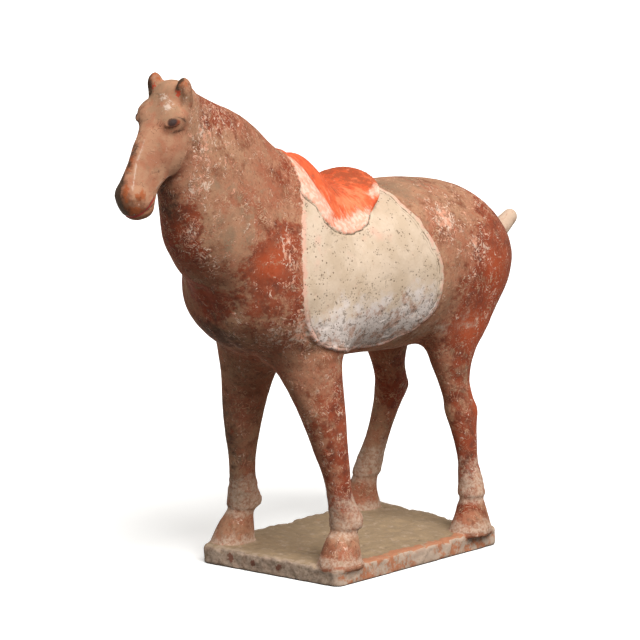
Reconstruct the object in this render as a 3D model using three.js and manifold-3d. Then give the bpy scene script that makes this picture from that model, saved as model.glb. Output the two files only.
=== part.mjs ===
// A saddled horse of fired clay on a slab plinth, modelled and fired as one piece and then painted.
// Millimetres, +Z up. The horse faces -Y and its left side is +X. The origin is the middle of the plinth's underside.
import * as THREE from "three";
import { mergeVertices } from "three/addons/utils/BufferGeometryUtils.js";
import Module from "manifold-3d";

const wasm = await Module();
wasm.setup();

// Driving sizes, in millimetres.
const FIGURE_HEIGHT = 435; // from the plinth's top to the tips of the ears
const PLINTH_THICKNESS = 16;
const PLINTH_FRONT_INSET = 0.5; // how far the fore hooves stand out over its front
const PLINTH_REAR_MARGIN = 9; // plinth beyond the hind hooves
const PLINTH_SIDE_INSET = 3.5; // how far the hooves stand out over its sides
const PLINTH_CORNER_RADIUS = 9; // upright corners, seen from above
const PLINTH_EDGE_ROUND = 3; // worn top edge
const PLINTH_FRONT_SKEW = 7; // the slab was cut by eye: how much longer it is on the right side
const PLINTH_REAR_SKEW = 4; // and how much narrower at the back, on the left side
const HOOF_ROOT = 4; // how far a hoof is luted down into the plinth
const CLOTH_THICKNESS = 1.6; // saddlecloth, proud of the horse's sides
const FLAP_THICKNESS = 3.4; // saddle flaps, proud of the horse's sides

// The figure is a free form. Everything below is in thousandths of its height, measured from the plinth's top.
const share = FIGURE_HEIGHT / 1000;

const UP = [0, 1];
const FORWARD = [-1, 0];

// Eases every number of the stations along their line, with slopes taken from the neighbours on each side.
function between(stations, at) {
  let i = 0;
  while (i < stations.length - 2 && at > stations[i + 1].at) i++;
  const slope = (k, key) => {
    const before = stations[Math.max(k - 1, 0)];
    const after = stations[Math.min(k + 1, stations.length - 1)];
    return (after[key] - before[key]) / (after.at - before.at);
  };
  const [from, to] = [stations[i], stations[i + 1]];
  const span = to.at - from.at;
  const t = THREE.MathUtils.clamp((at - from.at) / span, 0, 1);
  const found = {};
  for (const key of Object.keys(from)) {
    found[key] =
      from[key] * (1 + 2 * t) * (1 - t) ** 2 +
      to[key] * t * t * (3 - 2 * t) +
      span * (slope(i, key) * t * (1 - t) ** 2 + slope(i + 1, key) * t * t * (t - 1));
  }
  return found;
}

// Where the rings of a swelling stand along its axis, and how much each is drawn in by the rounding of its two ends.
function ringPlaces({ stations, domes: [startDome, endDome], step, domeRings }) {
  const low = stations[0].at + startDome;
  const high = stations.at(-1).at - endDome;
  const turns = Array.from({ length: domeRings }, (_, i) => (Math.PI / 2) * ((i + 1) / domeRings));
  const places = turns.map((turn) => ({ at: low - startDome * Math.cos(turn), drawn: Math.sin(turn) }));
  const stops = [low, ...stations.map(({ at }) => at).filter((at) => at > low && at < high), high];
  for (let i = 1; i < stops.length; i++) {
    const parts = Math.ceil((stops[i] - stops[i - 1]) / step);
    for (let k = 1; k <= parts; k++) {
      places.push({ at: stops[i - 1] + ((stops[i] - stops[i - 1]) * k) / parts, drawn: 1 });
    }
  }
  const closing = turns.slice(0, -1).reverse();
  places.push(...closing.map((turn) => ({ at: high + endDome * Math.cos(turn), drawn: Math.sin(turn) })));
  return places;
}

// The frame of one ring in the side view: its middle, which way is over, and its reach over and under.
function ringFrame({ start, axis, over }, s) {
  if (axis) {
    const middle = [0, 1].map((k) => start[k] + s.at * axis[k] + s.mid * over[k]);
    return { middle, over, reach: [s.over, s.under] };
  }
  const rise = [s.topY - s.lowY, s.topZ - s.lowZ];
  const length = Math.hypot(...rise);
  const middle = [(s.topY + s.lowY) / 2, (s.topZ + s.lowZ) / 2];
  return { middle, over: rise.map((part) => part / length), reach: [length / 2, length / 2] };
}

// One swelling of the body: rings about a straight axis, or from a back line to a belly line, closed by a dome at
// each end. A ring has its middle (out sideways), its reach over and under, its half-width `side`, its squareness
// (2 is an ellipse) and how much it widens towards `over` (taper).
function swelling(form, { mirror = 1, swell = 0 } = {}) {
  const { stations, segments } = form;
  const places = ringPlaces(form);
  const bend = (value, square) => Math.sign(value) * Math.abs(value) ** (2 / square);
  const positions = [];
  const ring = (at, drawn, points) => {
    const s = between(stations, at);
    const { middle, over, reach } = ringFrame(form, s);
    for (let j = 0; j < points; j++) {
      const angle = (2 * Math.PI * j) / segments;
      const [c, d] = [bend(Math.cos(angle), s.square), bend(Math.sin(angle), s.square)];
      const up = (reach[d > 0 ? 0 : 1] * share + swell) * d * drawn;
      const wide = (s.side * share * (1 + s.taper * d) + swell) * c * drawn;
      positions.push(
        mirror * ((s.out ?? 0) * share + wide),
        middle[0] * share + up * over[0],
        middle[1] * share + up * over[1],
      );
    }
  };
  ring(stations[0].at, 0, 1);
  for (const { at, drawn } of places) ring(at, drawn, segments);
  ring(stations.at(-1).at, 0, 1);
  return closedSolid(positions, segments, places.length);
}

// Joins rings of equal count into a closed skin between a first and a last point, facing out.
function closedSolid(positions, segments, ringCount) {
  const faces = [];
  const corner = (ring, j) => 1 + ring * segments + (j % segments);
  const tip = 1 + ringCount * segments;
  for (let j = 0; j < segments; j++) {
    faces.push(0, corner(0, j + 1), corner(0, j));
    faces.push(tip, corner(ringCount - 1, j), corner(ringCount - 1, j + 1));
    for (let ring = 0; ring < ringCount - 1; ring++) {
      faces.push(corner(ring, j), corner(ring, j + 1), corner(ring + 1, j + 1));
      faces.push(corner(ring, j), corner(ring + 1, j + 1), corner(ring + 1, j));
    }
  }
  return solid(positions, faces);
}

// A manifold from points and triangles, turned outwards where the mirror or the axis turned it in.
function solid(positions, faces) {
  const turned = signedVolume(positions, faces) < 0;
  for (let i = 1; turned && i < faces.length; i += 3) {
    [faces[i], faces[i + 1]] = [faces[i + 1], faces[i]];
  }
  return new wasm.Manifold(
    new wasm.Mesh({
      numProp: 3,
      vertProperties: new Float32Array(positions),
      triVerts: new Uint32Array(faces),
    }),
  );
}

// Six times the volume inside the triangles, below zero where they face inwards.
function signedVolume(positions, faces) {
  const [a, b, c] = [new THREE.Vector3(), new THREE.Vector3(), new THREE.Vector3()];
  let sum = 0;
  for (let i = 0; i < faces.length; i += 3) {
    [a, b, c].forEach((corner, k) => corner.fromArray(positions, 3 * faces[i + k]));
    sum += a.dot(b.cross(c));
  }
  return sum;
}

const joined = (solids) => solids.reduce((whole, next) => whole.add(next));

// Barrel and neck, from the rump to the poll: each ring stands between a point of the back line and one of the
// belly line, and the rings fan out round the breast.
const barrelRing = (at, [topY, topZ], [lowY, lowZ], side, square, taper) => {
  return { at, topY, topZ, lowY, lowZ, side, square, taper };
};
const barrel = {
  domes: [110, 40],
  segments: 30,
  step: 46,
  domeRings: 5,
  stations: [
    barrelRing(-376, [376, 596], [376, 412], 122, 2, 0),
    barrelRing(-320, [320, 632], [320, 420], 138, 2, 0),
    barrelRing(-251, [251, 663], [251, 405], 147, 2.1, 0),
    barrelRing(-160, [160, 683], [160, 368], 152, 2.15, 0),
    barrelRing(-83, [83, 691], [83, 360], 153, 2.15, 0),
    barrelRing(64, [-64, 692], [-64, 372], 152, 2.15, 0),
    barrelRing(125, [-118, 700], [-132, 373], 150, 2, -0.08),
    barrelRing(190, [-165, 736], [-215, 378], 147, 2, -0.18),
    barrelRing(250, [-198, 776], [-288, 400], 141, 2.05, -0.26),
    barrelRing(310, [-216, 790], [-350, 432], 133, 2.1, -0.32),
    barrelRing(365, [-232, 804], [-397, 474], 121, 2.1, -0.34),
    barrelRing(410, [-250, 819], [-413, 518], 108, 2.05, -0.34),
    barrelRing(455, [-270, 837], [-436, 557], 98, 2, -0.34),
    barrelRing(500, [-295, 860], [-475, 598], 88, 2, -0.33),
    barrelRing(550, [-327, 884], [-511, 647], 78, 2, -0.3),
    barrelRing(605, [-362, 903], [-530, 712], 67, 2, -0.26),
    barrelRing(660, [-402, 921], [-546, 777], 57, 2, -0.2),
    barrelRing(712, [-445, 944], [-555, 836], 49, 2, -0.12),
    barrelRing(757, [-488, 968], [-560, 890], 43, 2, 0),
    barrelRing(795, [-522, 985], [-562, 930], 38, 2, 0),
  ],
};

// Head: an axis from the poll down to the lips; over is the nose side, under the jaw.
const headTilt = Math.atan2(230, 120);
const head = {
  start: [-525, 968],
  axis: [-Math.cos(headTilt), -Math.sin(headTilt)],
  over: [-Math.sin(headTilt), Math.cos(headTilt)],
  domes: [26, 34],
  segments: 22,
  step: 22,
  domeRings: 4,
  stations: [
    { at: -21, mid: -5, over: 27, under: 30, side: 34, square: 2.4, taper: 0 },
    { at: 25, mid: -5, over: 31, under: 44, side: 42, square: 2.6, taper: 0 },
    { at: 57, mid: -5, over: 37, under: 48, side: 46, square: 2.6, taper: 0 },
    { at: 80, mid: -5, over: 43, under: 51, side: 43, square: 2.4, taper: -0.15 },
    { at: 105, mid: -5, over: 49, under: 53, side: 40, square: 2.3, taper: -0.32 },
    { at: 135, mid: -4, over: 53, under: 48, side: 35, square: 2.3, taper: -0.38 },
    { at: 165, mid: -2, over: 52, under: 40, side: 30, square: 2.3, taper: -0.34 },
    { at: 192, mid: 2, over: 50, under: 34, side: 28, square: 2.3, taper: -0.25 },
    { at: 222, mid: 4, over: 46, under: 40, side: 31, square: 2.4, taper: -0.1 },
    { at: 262, mid: -2, over: 38, under: 34, side: 30, square: 2.4, taper: 0 },
  ],
};

// Legs: an upright axis; over is the horse's front, under its back. Low stations first, from the hoof's root up.
const hoofRoot = -HOOF_ROOT / share;
const foreleg = {
  start: [0, 0],
  axis: UP,
  over: FORWARD,
  domes: [3, 70],
  segments: 14,
  step: 60,
  domeRings: 2,
  stations: [
    { at: hoofRoot, out: 139, mid: 196, over: 47, under: 46, side: 39, square: 2.3, taper: 0 },
    { at: 4, out: 139, mid: 196, over: 46, under: 44, side: 38, square: 2.3, taper: 0 },
    { at: 30, out: 137, mid: 190, over: 39, under: 36, side: 33, square: 2.2, taper: 0 },
    { at: 50, out: 135, mid: 184, over: 33, under: 30, side: 28, square: 2.1, taper: 0 },
    { at: 60, out: 134, mid: 179, over: 27, under: 27, side: 26, square: 2, taper: 0 },
    { at: 68, out: 133, mid: 176, over: 27, under: 38, side: 28, square: 2, taper: 0 },
    { at: 80, out: 132, mid: 175, over: 28, under: 40, side: 29, square: 2, taper: 0 },
    { at: 101, out: 130, mid: 178, over: 27, under: 32, side: 27, square: 2, taper: 0 },
    { at: 131, out: 126, mid: 184, over: 25, under: 26, side: 25, square: 2, taper: 0 },
    { at: 170, out: 122, mid: 189, over: 27, under: 27, side: 27, square: 2, taper: 0 },
    { at: 221, out: 114, mid: 198, over: 34, under: 35, side: 34, square: 2, taper: 0 },
    { at: 280, out: 104, mid: 204, over: 42, under: 44, side: 42, square: 2, taper: 0 },
    { at: 335, out: 90, mid: 208, over: 53, under: 52, side: 50, square: 2, taper: 0 },
    { at: 390, out: 73, mid: 212, over: 68, under: 57, side: 68, square: 2, taper: 0 },
    { at: 440, out: 72, mid: 213, over: 78, under: 73, side: 69, square: 2, taper: 0 },
    { at: 540, out: 70, mid: 215, over: 95, under: 90, side: 68, square: 2, taper: 0 },
  ],
};
const hindleg = {
  start: [0, 0],
  axis: UP,
  over: FORWARD,
  domes: [3, 90],
  segments: 14,
  step: 60,
  domeRings: 2,
  stations: [
    { at: hoofRoot, out: 144, mid: -180, over: 45, under: 44, side: 37, square: 2.3, taper: 0 },
    { at: 4, out: 144, mid: -180, over: 44, under: 42, side: 36, square: 2.3, taper: 0 },
    { at: 30, out: 142, mid: -184, over: 35, under: 32, side: 30, square: 2.2, taper: 0 },
    { at: 50, out: 140, mid: -186, over: 27, under: 26, side: 26, square: 2.1, taper: 0 },
    { at: 60, out: 139, mid: -187, over: 23, under: 25, side: 24, square: 2, taper: 0 },
    { at: 74, out: 137, mid: -188, over: 22, under: 26, side: 25, square: 2, taper: 0 },
    { at: 100, out: 132, mid: -190, over: 20, under: 25, side: 22, square: 2, taper: 0 },
    { at: 134, out: 125, mid: -192, over: 19, under: 21, side: 19, square: 2, taper: 0 },
    { at: 193, out: 112, mid: -193, over: 24, under: 27, side: 22, square: 2, taper: 0 },
    { at: 229, out: 103, mid: -192, over: 28, under: 41, side: 27, square: 2, taper: 0 },
    { at: 253, out: 99, mid: -192, over: 29, under: 33, side: 27, square: 2, taper: 0 },
    { at: 290, out: 93, mid: -189, over: 35, under: 29, side: 30, square: 2, taper: 0 },
    { at: 342, out: 87, mid: -190, over: 53, under: 44, side: 42, square: 2, taper: 0 },
    { at: 400, out: 84, mid: -206, over: 84, under: 75, side: 56, square: 2, taper: 0 },
    { at: 480, out: 78, mid: -232, over: 105, under: 98, side: 68, square: 2, taper: 0 },
    { at: 600, out: 68, mid: -238, over: 100, under: 92, side: 70, square: 2, taper: 0 },
  ],
};

// The right hind leg is bent more at the hock, which stands higher and further back, and is thicker below it.
const bump = (at, middle, reach) => Math.exp(-(((at - middle) / reach) ** 2));
const rightHindleg = {
  ...hindleg,
  stations: hindleg.stations.map((station) => {
    const bend = bump(station.at, 235, 95);
    return {
      ...station,
      at: station.at + 10 * bend,
      mid: station.mid - 30 * bend,
      over: station.over + 9 * bump(station.at, 265, 60),
      under: station.under + 14 * bump(station.at, 150, 75) - 8 * bump(station.at, 40, 15),
    };
  }),
};

// The left hind leg stands a little fuller behind the hock.
const leftHindleg = {
  ...hindleg,
  stations: hindleg.stations.map((station) => {
    return { ...station, under: station.under + 6 * bump(station.at, 205, 35) };
  }),
};

// The left foreleg is heavier above the knee.
const leftForeleg = {
  ...foreleg,
  stations: foreleg.stations.map((station) => {
    return { ...station, over: station.over + 9 * bump(station.at, 330, 60) };
  }),
};

// Docked tail: a stub that rises behind the rump; over is up.
const tailTilt = 0.54;
const tail = {
  start: [330, 478],
  axis: [Math.cos(tailTilt), Math.sin(tailTilt)],
  over: [-Math.sin(tailTilt), Math.cos(tailTilt)],
  domes: [10, 14],
  segments: 12,
  step: 45,
  domeRings: 3,
  stations: [
    { at: 0, mid: 0, over: 30, under: 30, side: 28, square: 2, taper: 0 },
    { at: 80, mid: 0, over: 24, under: 22, side: 22, square: 2, taper: 0 },
    { at: 165, mid: 0, over: 15, under: 13, side: 13, square: 2, taper: 0 },
  ],
};

// Saddle: rings from the pommel over the seat to the cantle, each leaning forward down the flanks.
const saddle = {
  domes: [8, 8],
  segments: 24,
  step: 20,
  domeRings: 2,
  stations: [
    barrelRing(-212, [-212, 790], [-240, 660], 52, 1.7, 0),
    barrelRing(-182, [-182, 790], [-226, 640], 66, 1.65, 0),
    barrelRing(-150, [-150, 774], [-206, 630], 78, 1.65, 0),
    barrelRing(-122, [-122, 740], [-182, 620], 88, 1.7, 0),
    barrelRing(-95, [-95, 714], [-152, 610], 95, 1.8, 0),
    barrelRing(-60, [-60, 704], [-118, 610], 98, 1.9, 0),
    barrelRing(-32, [-32, 713], [-92, 622], 98, 1.9, 0),
    barrelRing(-8, [-8, 731], [-50, 642], 94, 1.9, 0),
    barrelRing(6, [5, 726], [-10, 650], 92, 1.9, 0),
  ],
};

// Rounded features, each an egg: middle (x out, y, z), half-sizes, and its lean forward in the side view.
const brow = { middle: [29, -554, 923], half: [27, 32, 25], lean: 0.6 };
const eye = { middle: [40, -571, 917], half: [13, 14, 9], lean: 0.5, round: 8 };
const cheek = { middle: [17, -546, 858], half: [31, 47, 50], lean: 0.3, round: 14 };
const nostrilRim = { middle: [14, -645, 779], half: [18, 22, 27], lean: 0.5 };
const nostril = { middle: [31, -657, 775], half: [6, 7, 11], lean: 0.9, round: 8 };
const chin = { middle: [0, -612, 752], half: [22, 20, 19], lean: 0.5 };
const mouth = { middle: [29, -622, 754], half: [6, 26, 2.4], lean: 0.46, round: 8 };
const ear = { middle: [37, -531, 962], half: [14.5, 17, 38], lean: 0.1 };
const earCup = { middle: [38, -551, 967], half: [9, 9, 25], lean: 0.1, round: 8 };

// The lower edges of the saddlecloth and of the saddle's flaps in the side view, closed above the back.
const clothOutline = [
  [-216, 830], [-240, 750], [-288, 648], [-306, 577], [-302, 510], [-268, 452], [-200, 420],
  [-99, 402], [0, 406], [55, 430], [86, 480], [88, 530], [74, 588], [52, 636], [38, 680], [38, 830],
];
const flapOutline = [
  [-215, 830], [-246, 740], [-240, 718], [-224, 704], [-214, 678], [-188, 656],
  [-152, 642], [-115, 642], [-84, 651], [-64, 668], [-40, 700], [-10, 735], [0, 830],
];

// An egg-shaped lump or hollow; its lean turns its top forward.
function egg({ middle: [out, y, z], half, lean, round = 10 }, { mirror = 1 } = {}) {
  const ball = new THREE.SphereGeometry(1, round, round - 4)
    .rotateX(Math.PI / 2)
    .scale(...half.map((size) => size * share))
    .rotateX(lean)
    .translate(mirror * out * share, y * share, z * share);
  return fromGeometry(ball);
}

const pair = (make) => joined([1, -1].map(make));

// A slab across the horse with a smooth outline drawn in the side view.
function slabAcross(outline) {
  const halfWidth = 250 * share;
  const curve = new THREE.SplineCurve(outline.map(([y, z]) => new THREE.Vector2(y * share, z * share)));
  const shape = new THREE.Shape(curve.getPoints(outline.length * 3));
  const block = new THREE.ExtrudeGeometry(shape, { depth: 2 * halfWidth, bevelEnabled: false });
  // The shape's x and y become the horse's y and z.
  const toSide = new THREE.Matrix4().makeBasis(
    new THREE.Vector3(0, 1, 0),
    new THREE.Vector3(0, 0, 1),
    new THREE.Vector3(1, 0, 0),
  );
  return fromGeometry(block.translate(0, 0, -halfWidth).applyMatrix4(toSide));
}

// A closed geometry as a solid, with its shared corners merged by place alone.
function fromGeometry(geometry) {
  geometry.deleteAttribute("normal");
  geometry.deleteAttribute("uv");
  const merged = mergeVertices(geometry, 1e-3);
  return solid([...merged.getAttribute("position").array], [...merged.index.array]);
}

// The horse's bare masses, swollen by a clothing thickness where asked.
function masses(swell = 0) {
  return joined([
    swelling(barrel, { swell }),
    swelling(leftForeleg, { swell }),
    swelling(foreleg, { mirror: -1, swell }),
    swelling(leftHindleg, { swell }),
    swelling(rightHindleg, { mirror: -1, swell }),
  ]);
}

function clothing(outline, thickness) {
  return masses(thickness).intersect(slabAcross(outline));
}

// The head with its brows, eyes, cheeks and lips, and the ears hollowed at the front.
function face() {
  const lumps = joined([
    swelling(head),
    egg(chin),
    ...[brow, eye, cheek, nostrilRim, ear].map((lump) => pair((mirror) => egg(lump, { mirror }))),
  ]);
  const hollows = [nostril, mouth, earCup].map((hollow) => pair((mirror) => egg(hollow, { mirror })));
  return lumps.subtract(joined(hollows));
}

function horse() {
  return joined([
    masses(),
    face(),
    swelling(tail),
    clothing(clothOutline, CLOTH_THICKNESS),
    clothing(flapOutline, FLAP_THICKNESS),
    swelling(saddle),
  ]);
}

// The plinth reaches just past the hooves that stand on it.
function plinth() {
  const fore = foreleg.stations[1];
  const hind = hindleg.stations[1];
  const front = -(fore.mid + fore.over) * share + PLINTH_FRONT_INSET;
  const back = (-hind.mid + hind.under) * share + PLINTH_REAR_MARGIN;
  const halfWidth = Math.max(fore.out + fore.side, hind.out + hind.side) * share - PLINTH_SIDE_INSET;
  const inset = PLINTH_EDGE_ROUND;
  const r = PLINTH_CORNER_RADIUS - inset;
  const [w, y0, y1] = [halfWidth - inset, front + inset, back - inset];
  const outline = new THREE.Shape();
  outline.absarc(w - r, y0 + r, r, -Math.PI / 2, 0);
  outline.absarc(w - r - PLINTH_REAR_SKEW, y1 - r, r, 0, Math.PI / 2);
  outline.absarc(-w + r, y1 - r, r, Math.PI / 2, Math.PI);
  outline.absarc(-w + r, y0 + r - PLINTH_FRONT_SKEW, r, Math.PI, 1.5 * Math.PI);
  const slab = new THREE.ExtrudeGeometry(outline, {
    depth: PLINTH_THICKNESS - 2 * inset,
    bevelThickness: inset,
    bevelSize: inset,
    bevelSegments: 3,
    curveSegments: 5,
  });
  return fromGeometry(slab.translate(0, 0, inset - PLINTH_THICKNESS));
}

function geometryOf(whole) {
  const mesh = whole.getMesh();
  const geometry = new THREE.BufferGeometry();
  geometry.setAttribute("position", new THREE.BufferAttribute(mesh.vertProperties.slice(), 3));
  geometry.setIndex(new THREE.BufferAttribute(mesh.triVerts.slice(), 1));
  geometry.computeVertexNormals();
  return geometry;
}

const figure = new THREE.Group();
const firedClay = new THREE.MeshStandardMaterial({ color: 0x9c5238, roughness: 0.9, metalness: 0 });
const body = new THREE.Mesh(geometryOf(horse().add(plinth())), firedClay);
body.name = "pottery_horse";
body.position.z = PLINTH_THICKNESS;
figure.add(body);

export default figure;
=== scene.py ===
"""A saddled horse of fired clay on its plinth: slip, paint, crust and wear over one hand-built body.

The shaping classes work in millimetres and in shares of the figure's height, and the finished
piece is in metres. The horse faces -Y, its left side is +X, and the origin is the middle of the
plinth's underside.
"""
from __future__ import annotations

import logging
import math
from dataclasses import dataclass, field, replace
from enum import Enum
from typing import Sequence

import bpy
import numpy as np
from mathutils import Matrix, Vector

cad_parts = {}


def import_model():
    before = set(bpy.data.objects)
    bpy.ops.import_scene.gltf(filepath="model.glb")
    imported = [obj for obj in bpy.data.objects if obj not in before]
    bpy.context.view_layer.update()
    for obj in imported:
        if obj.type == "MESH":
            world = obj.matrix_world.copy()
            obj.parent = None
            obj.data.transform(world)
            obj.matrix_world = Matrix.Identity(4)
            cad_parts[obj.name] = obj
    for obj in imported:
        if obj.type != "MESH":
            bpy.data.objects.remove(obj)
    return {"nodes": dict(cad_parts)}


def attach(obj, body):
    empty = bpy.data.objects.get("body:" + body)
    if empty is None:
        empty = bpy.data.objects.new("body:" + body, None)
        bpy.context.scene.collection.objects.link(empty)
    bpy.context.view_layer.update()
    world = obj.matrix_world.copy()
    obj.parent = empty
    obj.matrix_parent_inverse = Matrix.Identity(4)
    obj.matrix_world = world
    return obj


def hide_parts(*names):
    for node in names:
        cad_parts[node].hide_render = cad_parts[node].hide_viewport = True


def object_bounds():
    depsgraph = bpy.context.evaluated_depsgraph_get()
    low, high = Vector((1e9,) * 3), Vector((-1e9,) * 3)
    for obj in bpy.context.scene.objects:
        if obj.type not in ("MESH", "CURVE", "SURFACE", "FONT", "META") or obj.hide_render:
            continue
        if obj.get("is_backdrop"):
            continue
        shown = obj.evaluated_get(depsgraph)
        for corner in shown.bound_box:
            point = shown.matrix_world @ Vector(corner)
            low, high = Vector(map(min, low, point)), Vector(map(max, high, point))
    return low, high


log = logging.getLogger("pottery_horse")

FIGURE_HEIGHT = 435.0
PLINTH_THICKNESS = 16.0
SHARE = FIGURE_HEIGHT / 1000
PER_METRE = 1000

# The legs start this far under the plinth's top, as a share of the figure.
HOOF_ROOT = -4 / SHARE
# An empty block's distance to the clay, in millimetres: more than any that is looked at.
FAR = 60.0
# Keeps roots and divisions away from zero.
TINY = 1e-9
# How many rows the fine table of eased sizes has, and how many points are looked up at a time.
TABLE_ROWS = 400
BATCH = 20000
# A cross-section's taper goes on widening up to this share of its height.
TAPER_LIMIT = 1.2
# The cells of the block of clay, in millimetres.
CELL = 1.25

Array = np.ndarray
Pair = tuple[float, float]
Triple = tuple[float, float, float]
Window = tuple[slice, slice, slice]


class Side(Enum):
    """The two sides of the horse, as the sign of x."""

    LEFT = 1
    RIGHT = -1


def height(z: Array) -> Array:
    """Height above the plinth's top, in thousandths of the figure, of a z in millimetres."""
    return (z - PLINTH_THICKNESS) / SHARE


def smooth(value: Array, low: float, high: float) -> Array:
    """Eases from 0 at low to 1 at high.

    Args:
        value: What is measured.
        low: Where the easing starts.
        high: Where it ends.

    Returns:
        Shares from 0 to 1.
    """
    t = np.clip((value - low) / (high - low), 0, 1)
    return t * t * (3 - 2 * t)


def bell(value: Array, middle: float, reach: float) -> Array:
    """A smooth swell of 1 at the middle, fading over the reach."""
    return np.exp(-(((value - middle) / reach) ** 2))


def soft_join(a: Array, b: Array, fillet: float) -> Array:
    """Joins two distances to clay, with clay smoothed into the corner between them.

    Args:
        a: Distances to one mass, in millimetres.
        b: Distances to the other.
        fillet: How far from the corner the smoothing starts.

    Returns:
        Distances to the joined mass.
    """
    if fillet <= 0:
        return np.minimum(a, b)
    h = np.maximum(fillet - np.abs(a - b), 0) / fillet
    return np.minimum(a, b) - h * h * fillet / 4


def soft_cut(a: Array, b: Array, fillet: float) -> Array:
    """Distances to the mass a after the mass b is pressed out of it, with the rim rounded."""
    return -soft_join(-a, b, fillet)


@dataclass(frozen=True)
class Grain:
    """A seeded lattice of random values, read as smooth noise from -1 to 1."""

    seed: int
    size: int = 32

    def lattice(self) -> Array:
        """The random values at the lattice's points."""
        return np.random.default_rng(self.seed).uniform(-1, 1, (self.size,) * 3).astype(np.float32)

    def at(self, points: Array, spacing: float) -> Array:
        """Reads the noise at points.

        Args:
            points: Rows of x, y and z, in millimetres.
            spacing: The width of the noise's waves, in millimetres.

        Returns:
            One value for each point.
        """
        values = self.lattice()
        place = points / spacing
        base = np.floor(place).astype(np.int64)
        t = (place - base).astype(np.float32)
        t = t * t * (3 - 2 * t)
        total = np.zeros(len(points), np.float32)
        for corner in np.ndindex(2, 2, 2):
            index = (base + corner) % self.size
            weight = np.prod(np.where(np.array(corner) == 1, t, 1 - t), axis=1)
            total += weight * values[index[:, 0], index[:, 1], index[:, 2]]
        return total

    def layered(self, points: Array, spacing: float, layers: int = 3) -> Array:
        """Noise of several widths, each half as wide and half as strong as the last.

        Args:
            points: Rows of x, y and z, in millimetres.
            spacing: The width of the widest waves, in millimetres.
            layers: How many widths there are.

        Returns:
            One value for each point.
        """
        total = np.zeros(len(points), np.float32)
        for k in range(layers):
            total += replace(self, seed=self.seed + 100 * k).at(points, spacing / 2**k) / 2**k
        return total


@dataclass(frozen=True)
class Texture:
    """One kind of unevenness in the clay, in millimetres."""

    seed: int
    spacing: float
    layers: int
    depth: float = 1.0

    def on(self, points: Array, share: Array | float = 1.0) -> Array:
        """How far it moves rows of x, y and z, where it has a share."""
        return self.depth * share * Grain(self.seed).layered(points, self.spacing, self.layers)


@dataclass(frozen=True)
class Band:
    """A soft band that follows an edge, raised above zero and pressed in below it, in millimetres."""

    inset: float
    width: float
    depth: float

    def on(self, inside: Array, share: Array) -> Array:
        """How far it moves points that lie some way inside the edge, where it has a share."""
        return self.depth * share * bell(inside, self.inset, self.width)


class Block:
    """A block of cells, in millimetres, that holds the distance to the clay at each of its points."""

    def __init__(self, low: Triple, high: Triple, step: float) -> None:
        """Sets up an empty block.

        Args:
            low: Its lowest corner.
            high: Its highest corner.
            step: The distance between its points.
        """
        self.low = np.array(low, np.float64)
        self.step = step
        counts = np.ceil((np.array(high) - self.low) / step).astype(int) + 1
        self.axes = [self.low[k] + step * np.arange(counts[k]) for k in range(3)]
        self.values = np.full(tuple(counts), FAR, np.float32)

    def window(self, low: Sequence[float], high: Sequence[float]) -> Window:
        """The part of the block between two corners.

        Args:
            low: The lowest corner, in millimetres.
            high: The highest corner.

        Returns:
            The numbers of its points along each axis.
        """
        starts = [int(max(0, math.floor((low[k] - self.low[k]) / self.step))) for k in range(3)]
        stops = [int(math.ceil((high[k] - self.low[k]) / self.step)) + 1 for k in range(3)]
        return tuple(slice(a, max(b, a)) for a, b in zip(starts, stops))

    def places(self, window: Window) -> tuple[Array, Array, Array]:
        """The x, y and z of a window's points, ready to be spread over each other."""
        x, y, z = (self.axes[k][window[k]].astype(np.float32) for k in range(3))
        return x[:, None, None], y[None, :, None], z[None, None, :]


def eased(stations: Sequence, at: Array) -> dict[str, Array]:
    """Eases every size of the stations along their line.

    Args:
        stations: Dataclasses with a field `at`, in order.
        at: Where the sizes are wanted.

    Returns:
        The sizes by name.
    """
    names = list(stations[0].__dataclass_fields__)
    table = np.array([[getattr(s, name) for name in names] for s in stations], np.float64)
    line = table[:, names.index("at")]
    last = len(line) - 1
    before, after = np.maximum(np.arange(last + 1) - 1, 0), np.minimum(np.arange(last + 1) + 1, last)
    slopes = (table[after] - table[before]) / (line[after] - line[before])[:, None]
    i = np.clip(np.searchsorted(line, at, side="right") - 1, 0, last - 1)
    span = line[i + 1] - line[i]
    t = np.clip((at - line[i]) / span, 0, 1)[:, None]
    found = (
        table[i] * (1 + 2 * t) * (1 - t) ** 2
        + table[i + 1] * t * t * (3 - 2 * t)
        + span[:, None] * (slopes[i] * t * (1 - t) ** 2 + slopes[i + 1] * t * t * (t - 1))
    )
    return {name: found[:, k] for k, name in enumerate(names)}


def looked_up(stations: Sequence, at: Array, names: Sequence[str]) -> list[Array]:
    """Reads eased sizes for many places from one fine table.

    Args:
        stations: Dataclasses with a field `at`, in order.
        at: Where the sizes are wanted, of any shape.
        names: Which sizes are wanted.

    Returns:
        The sizes, in the order of their names.
    """
    line = np.linspace(stations[0].at, stations[-1].at, TABLE_ROWS)
    sizes = eased(stations, line)
    return [np.interp(at, line, sizes[name]).astype(np.float32) for name in names]


def domed(stations: Sequence, at: Array, domes: Pair) -> tuple[Array, Array]:
    """Finds how far places lie in the dome that rounds either end of a row of stations.

    Args:
        stations: Dataclasses with a field `at`, in order.
        at: The places along them.
        domes: How long the first and the last dome are.

    Returns:
        Shares of the dome's length, zero before it starts, and that length.
    """
    low, high = stations[0].at + domes[0], stations[-1].at - domes[1]
    share = np.where(at < low, (low - at) / domes[0], np.maximum(at - high, 0) / domes[1])
    return share, np.where(at < low, domes[0], domes[1])


@dataclass(frozen=True)
class Station:
    """One cross-section of a limb or head, in thousandths of the figure's height."""

    at: float
    out: float
    mid: float
    over: float
    under: float
    side: float
    square: float = 2.0
    taper: float = 0.0


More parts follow.
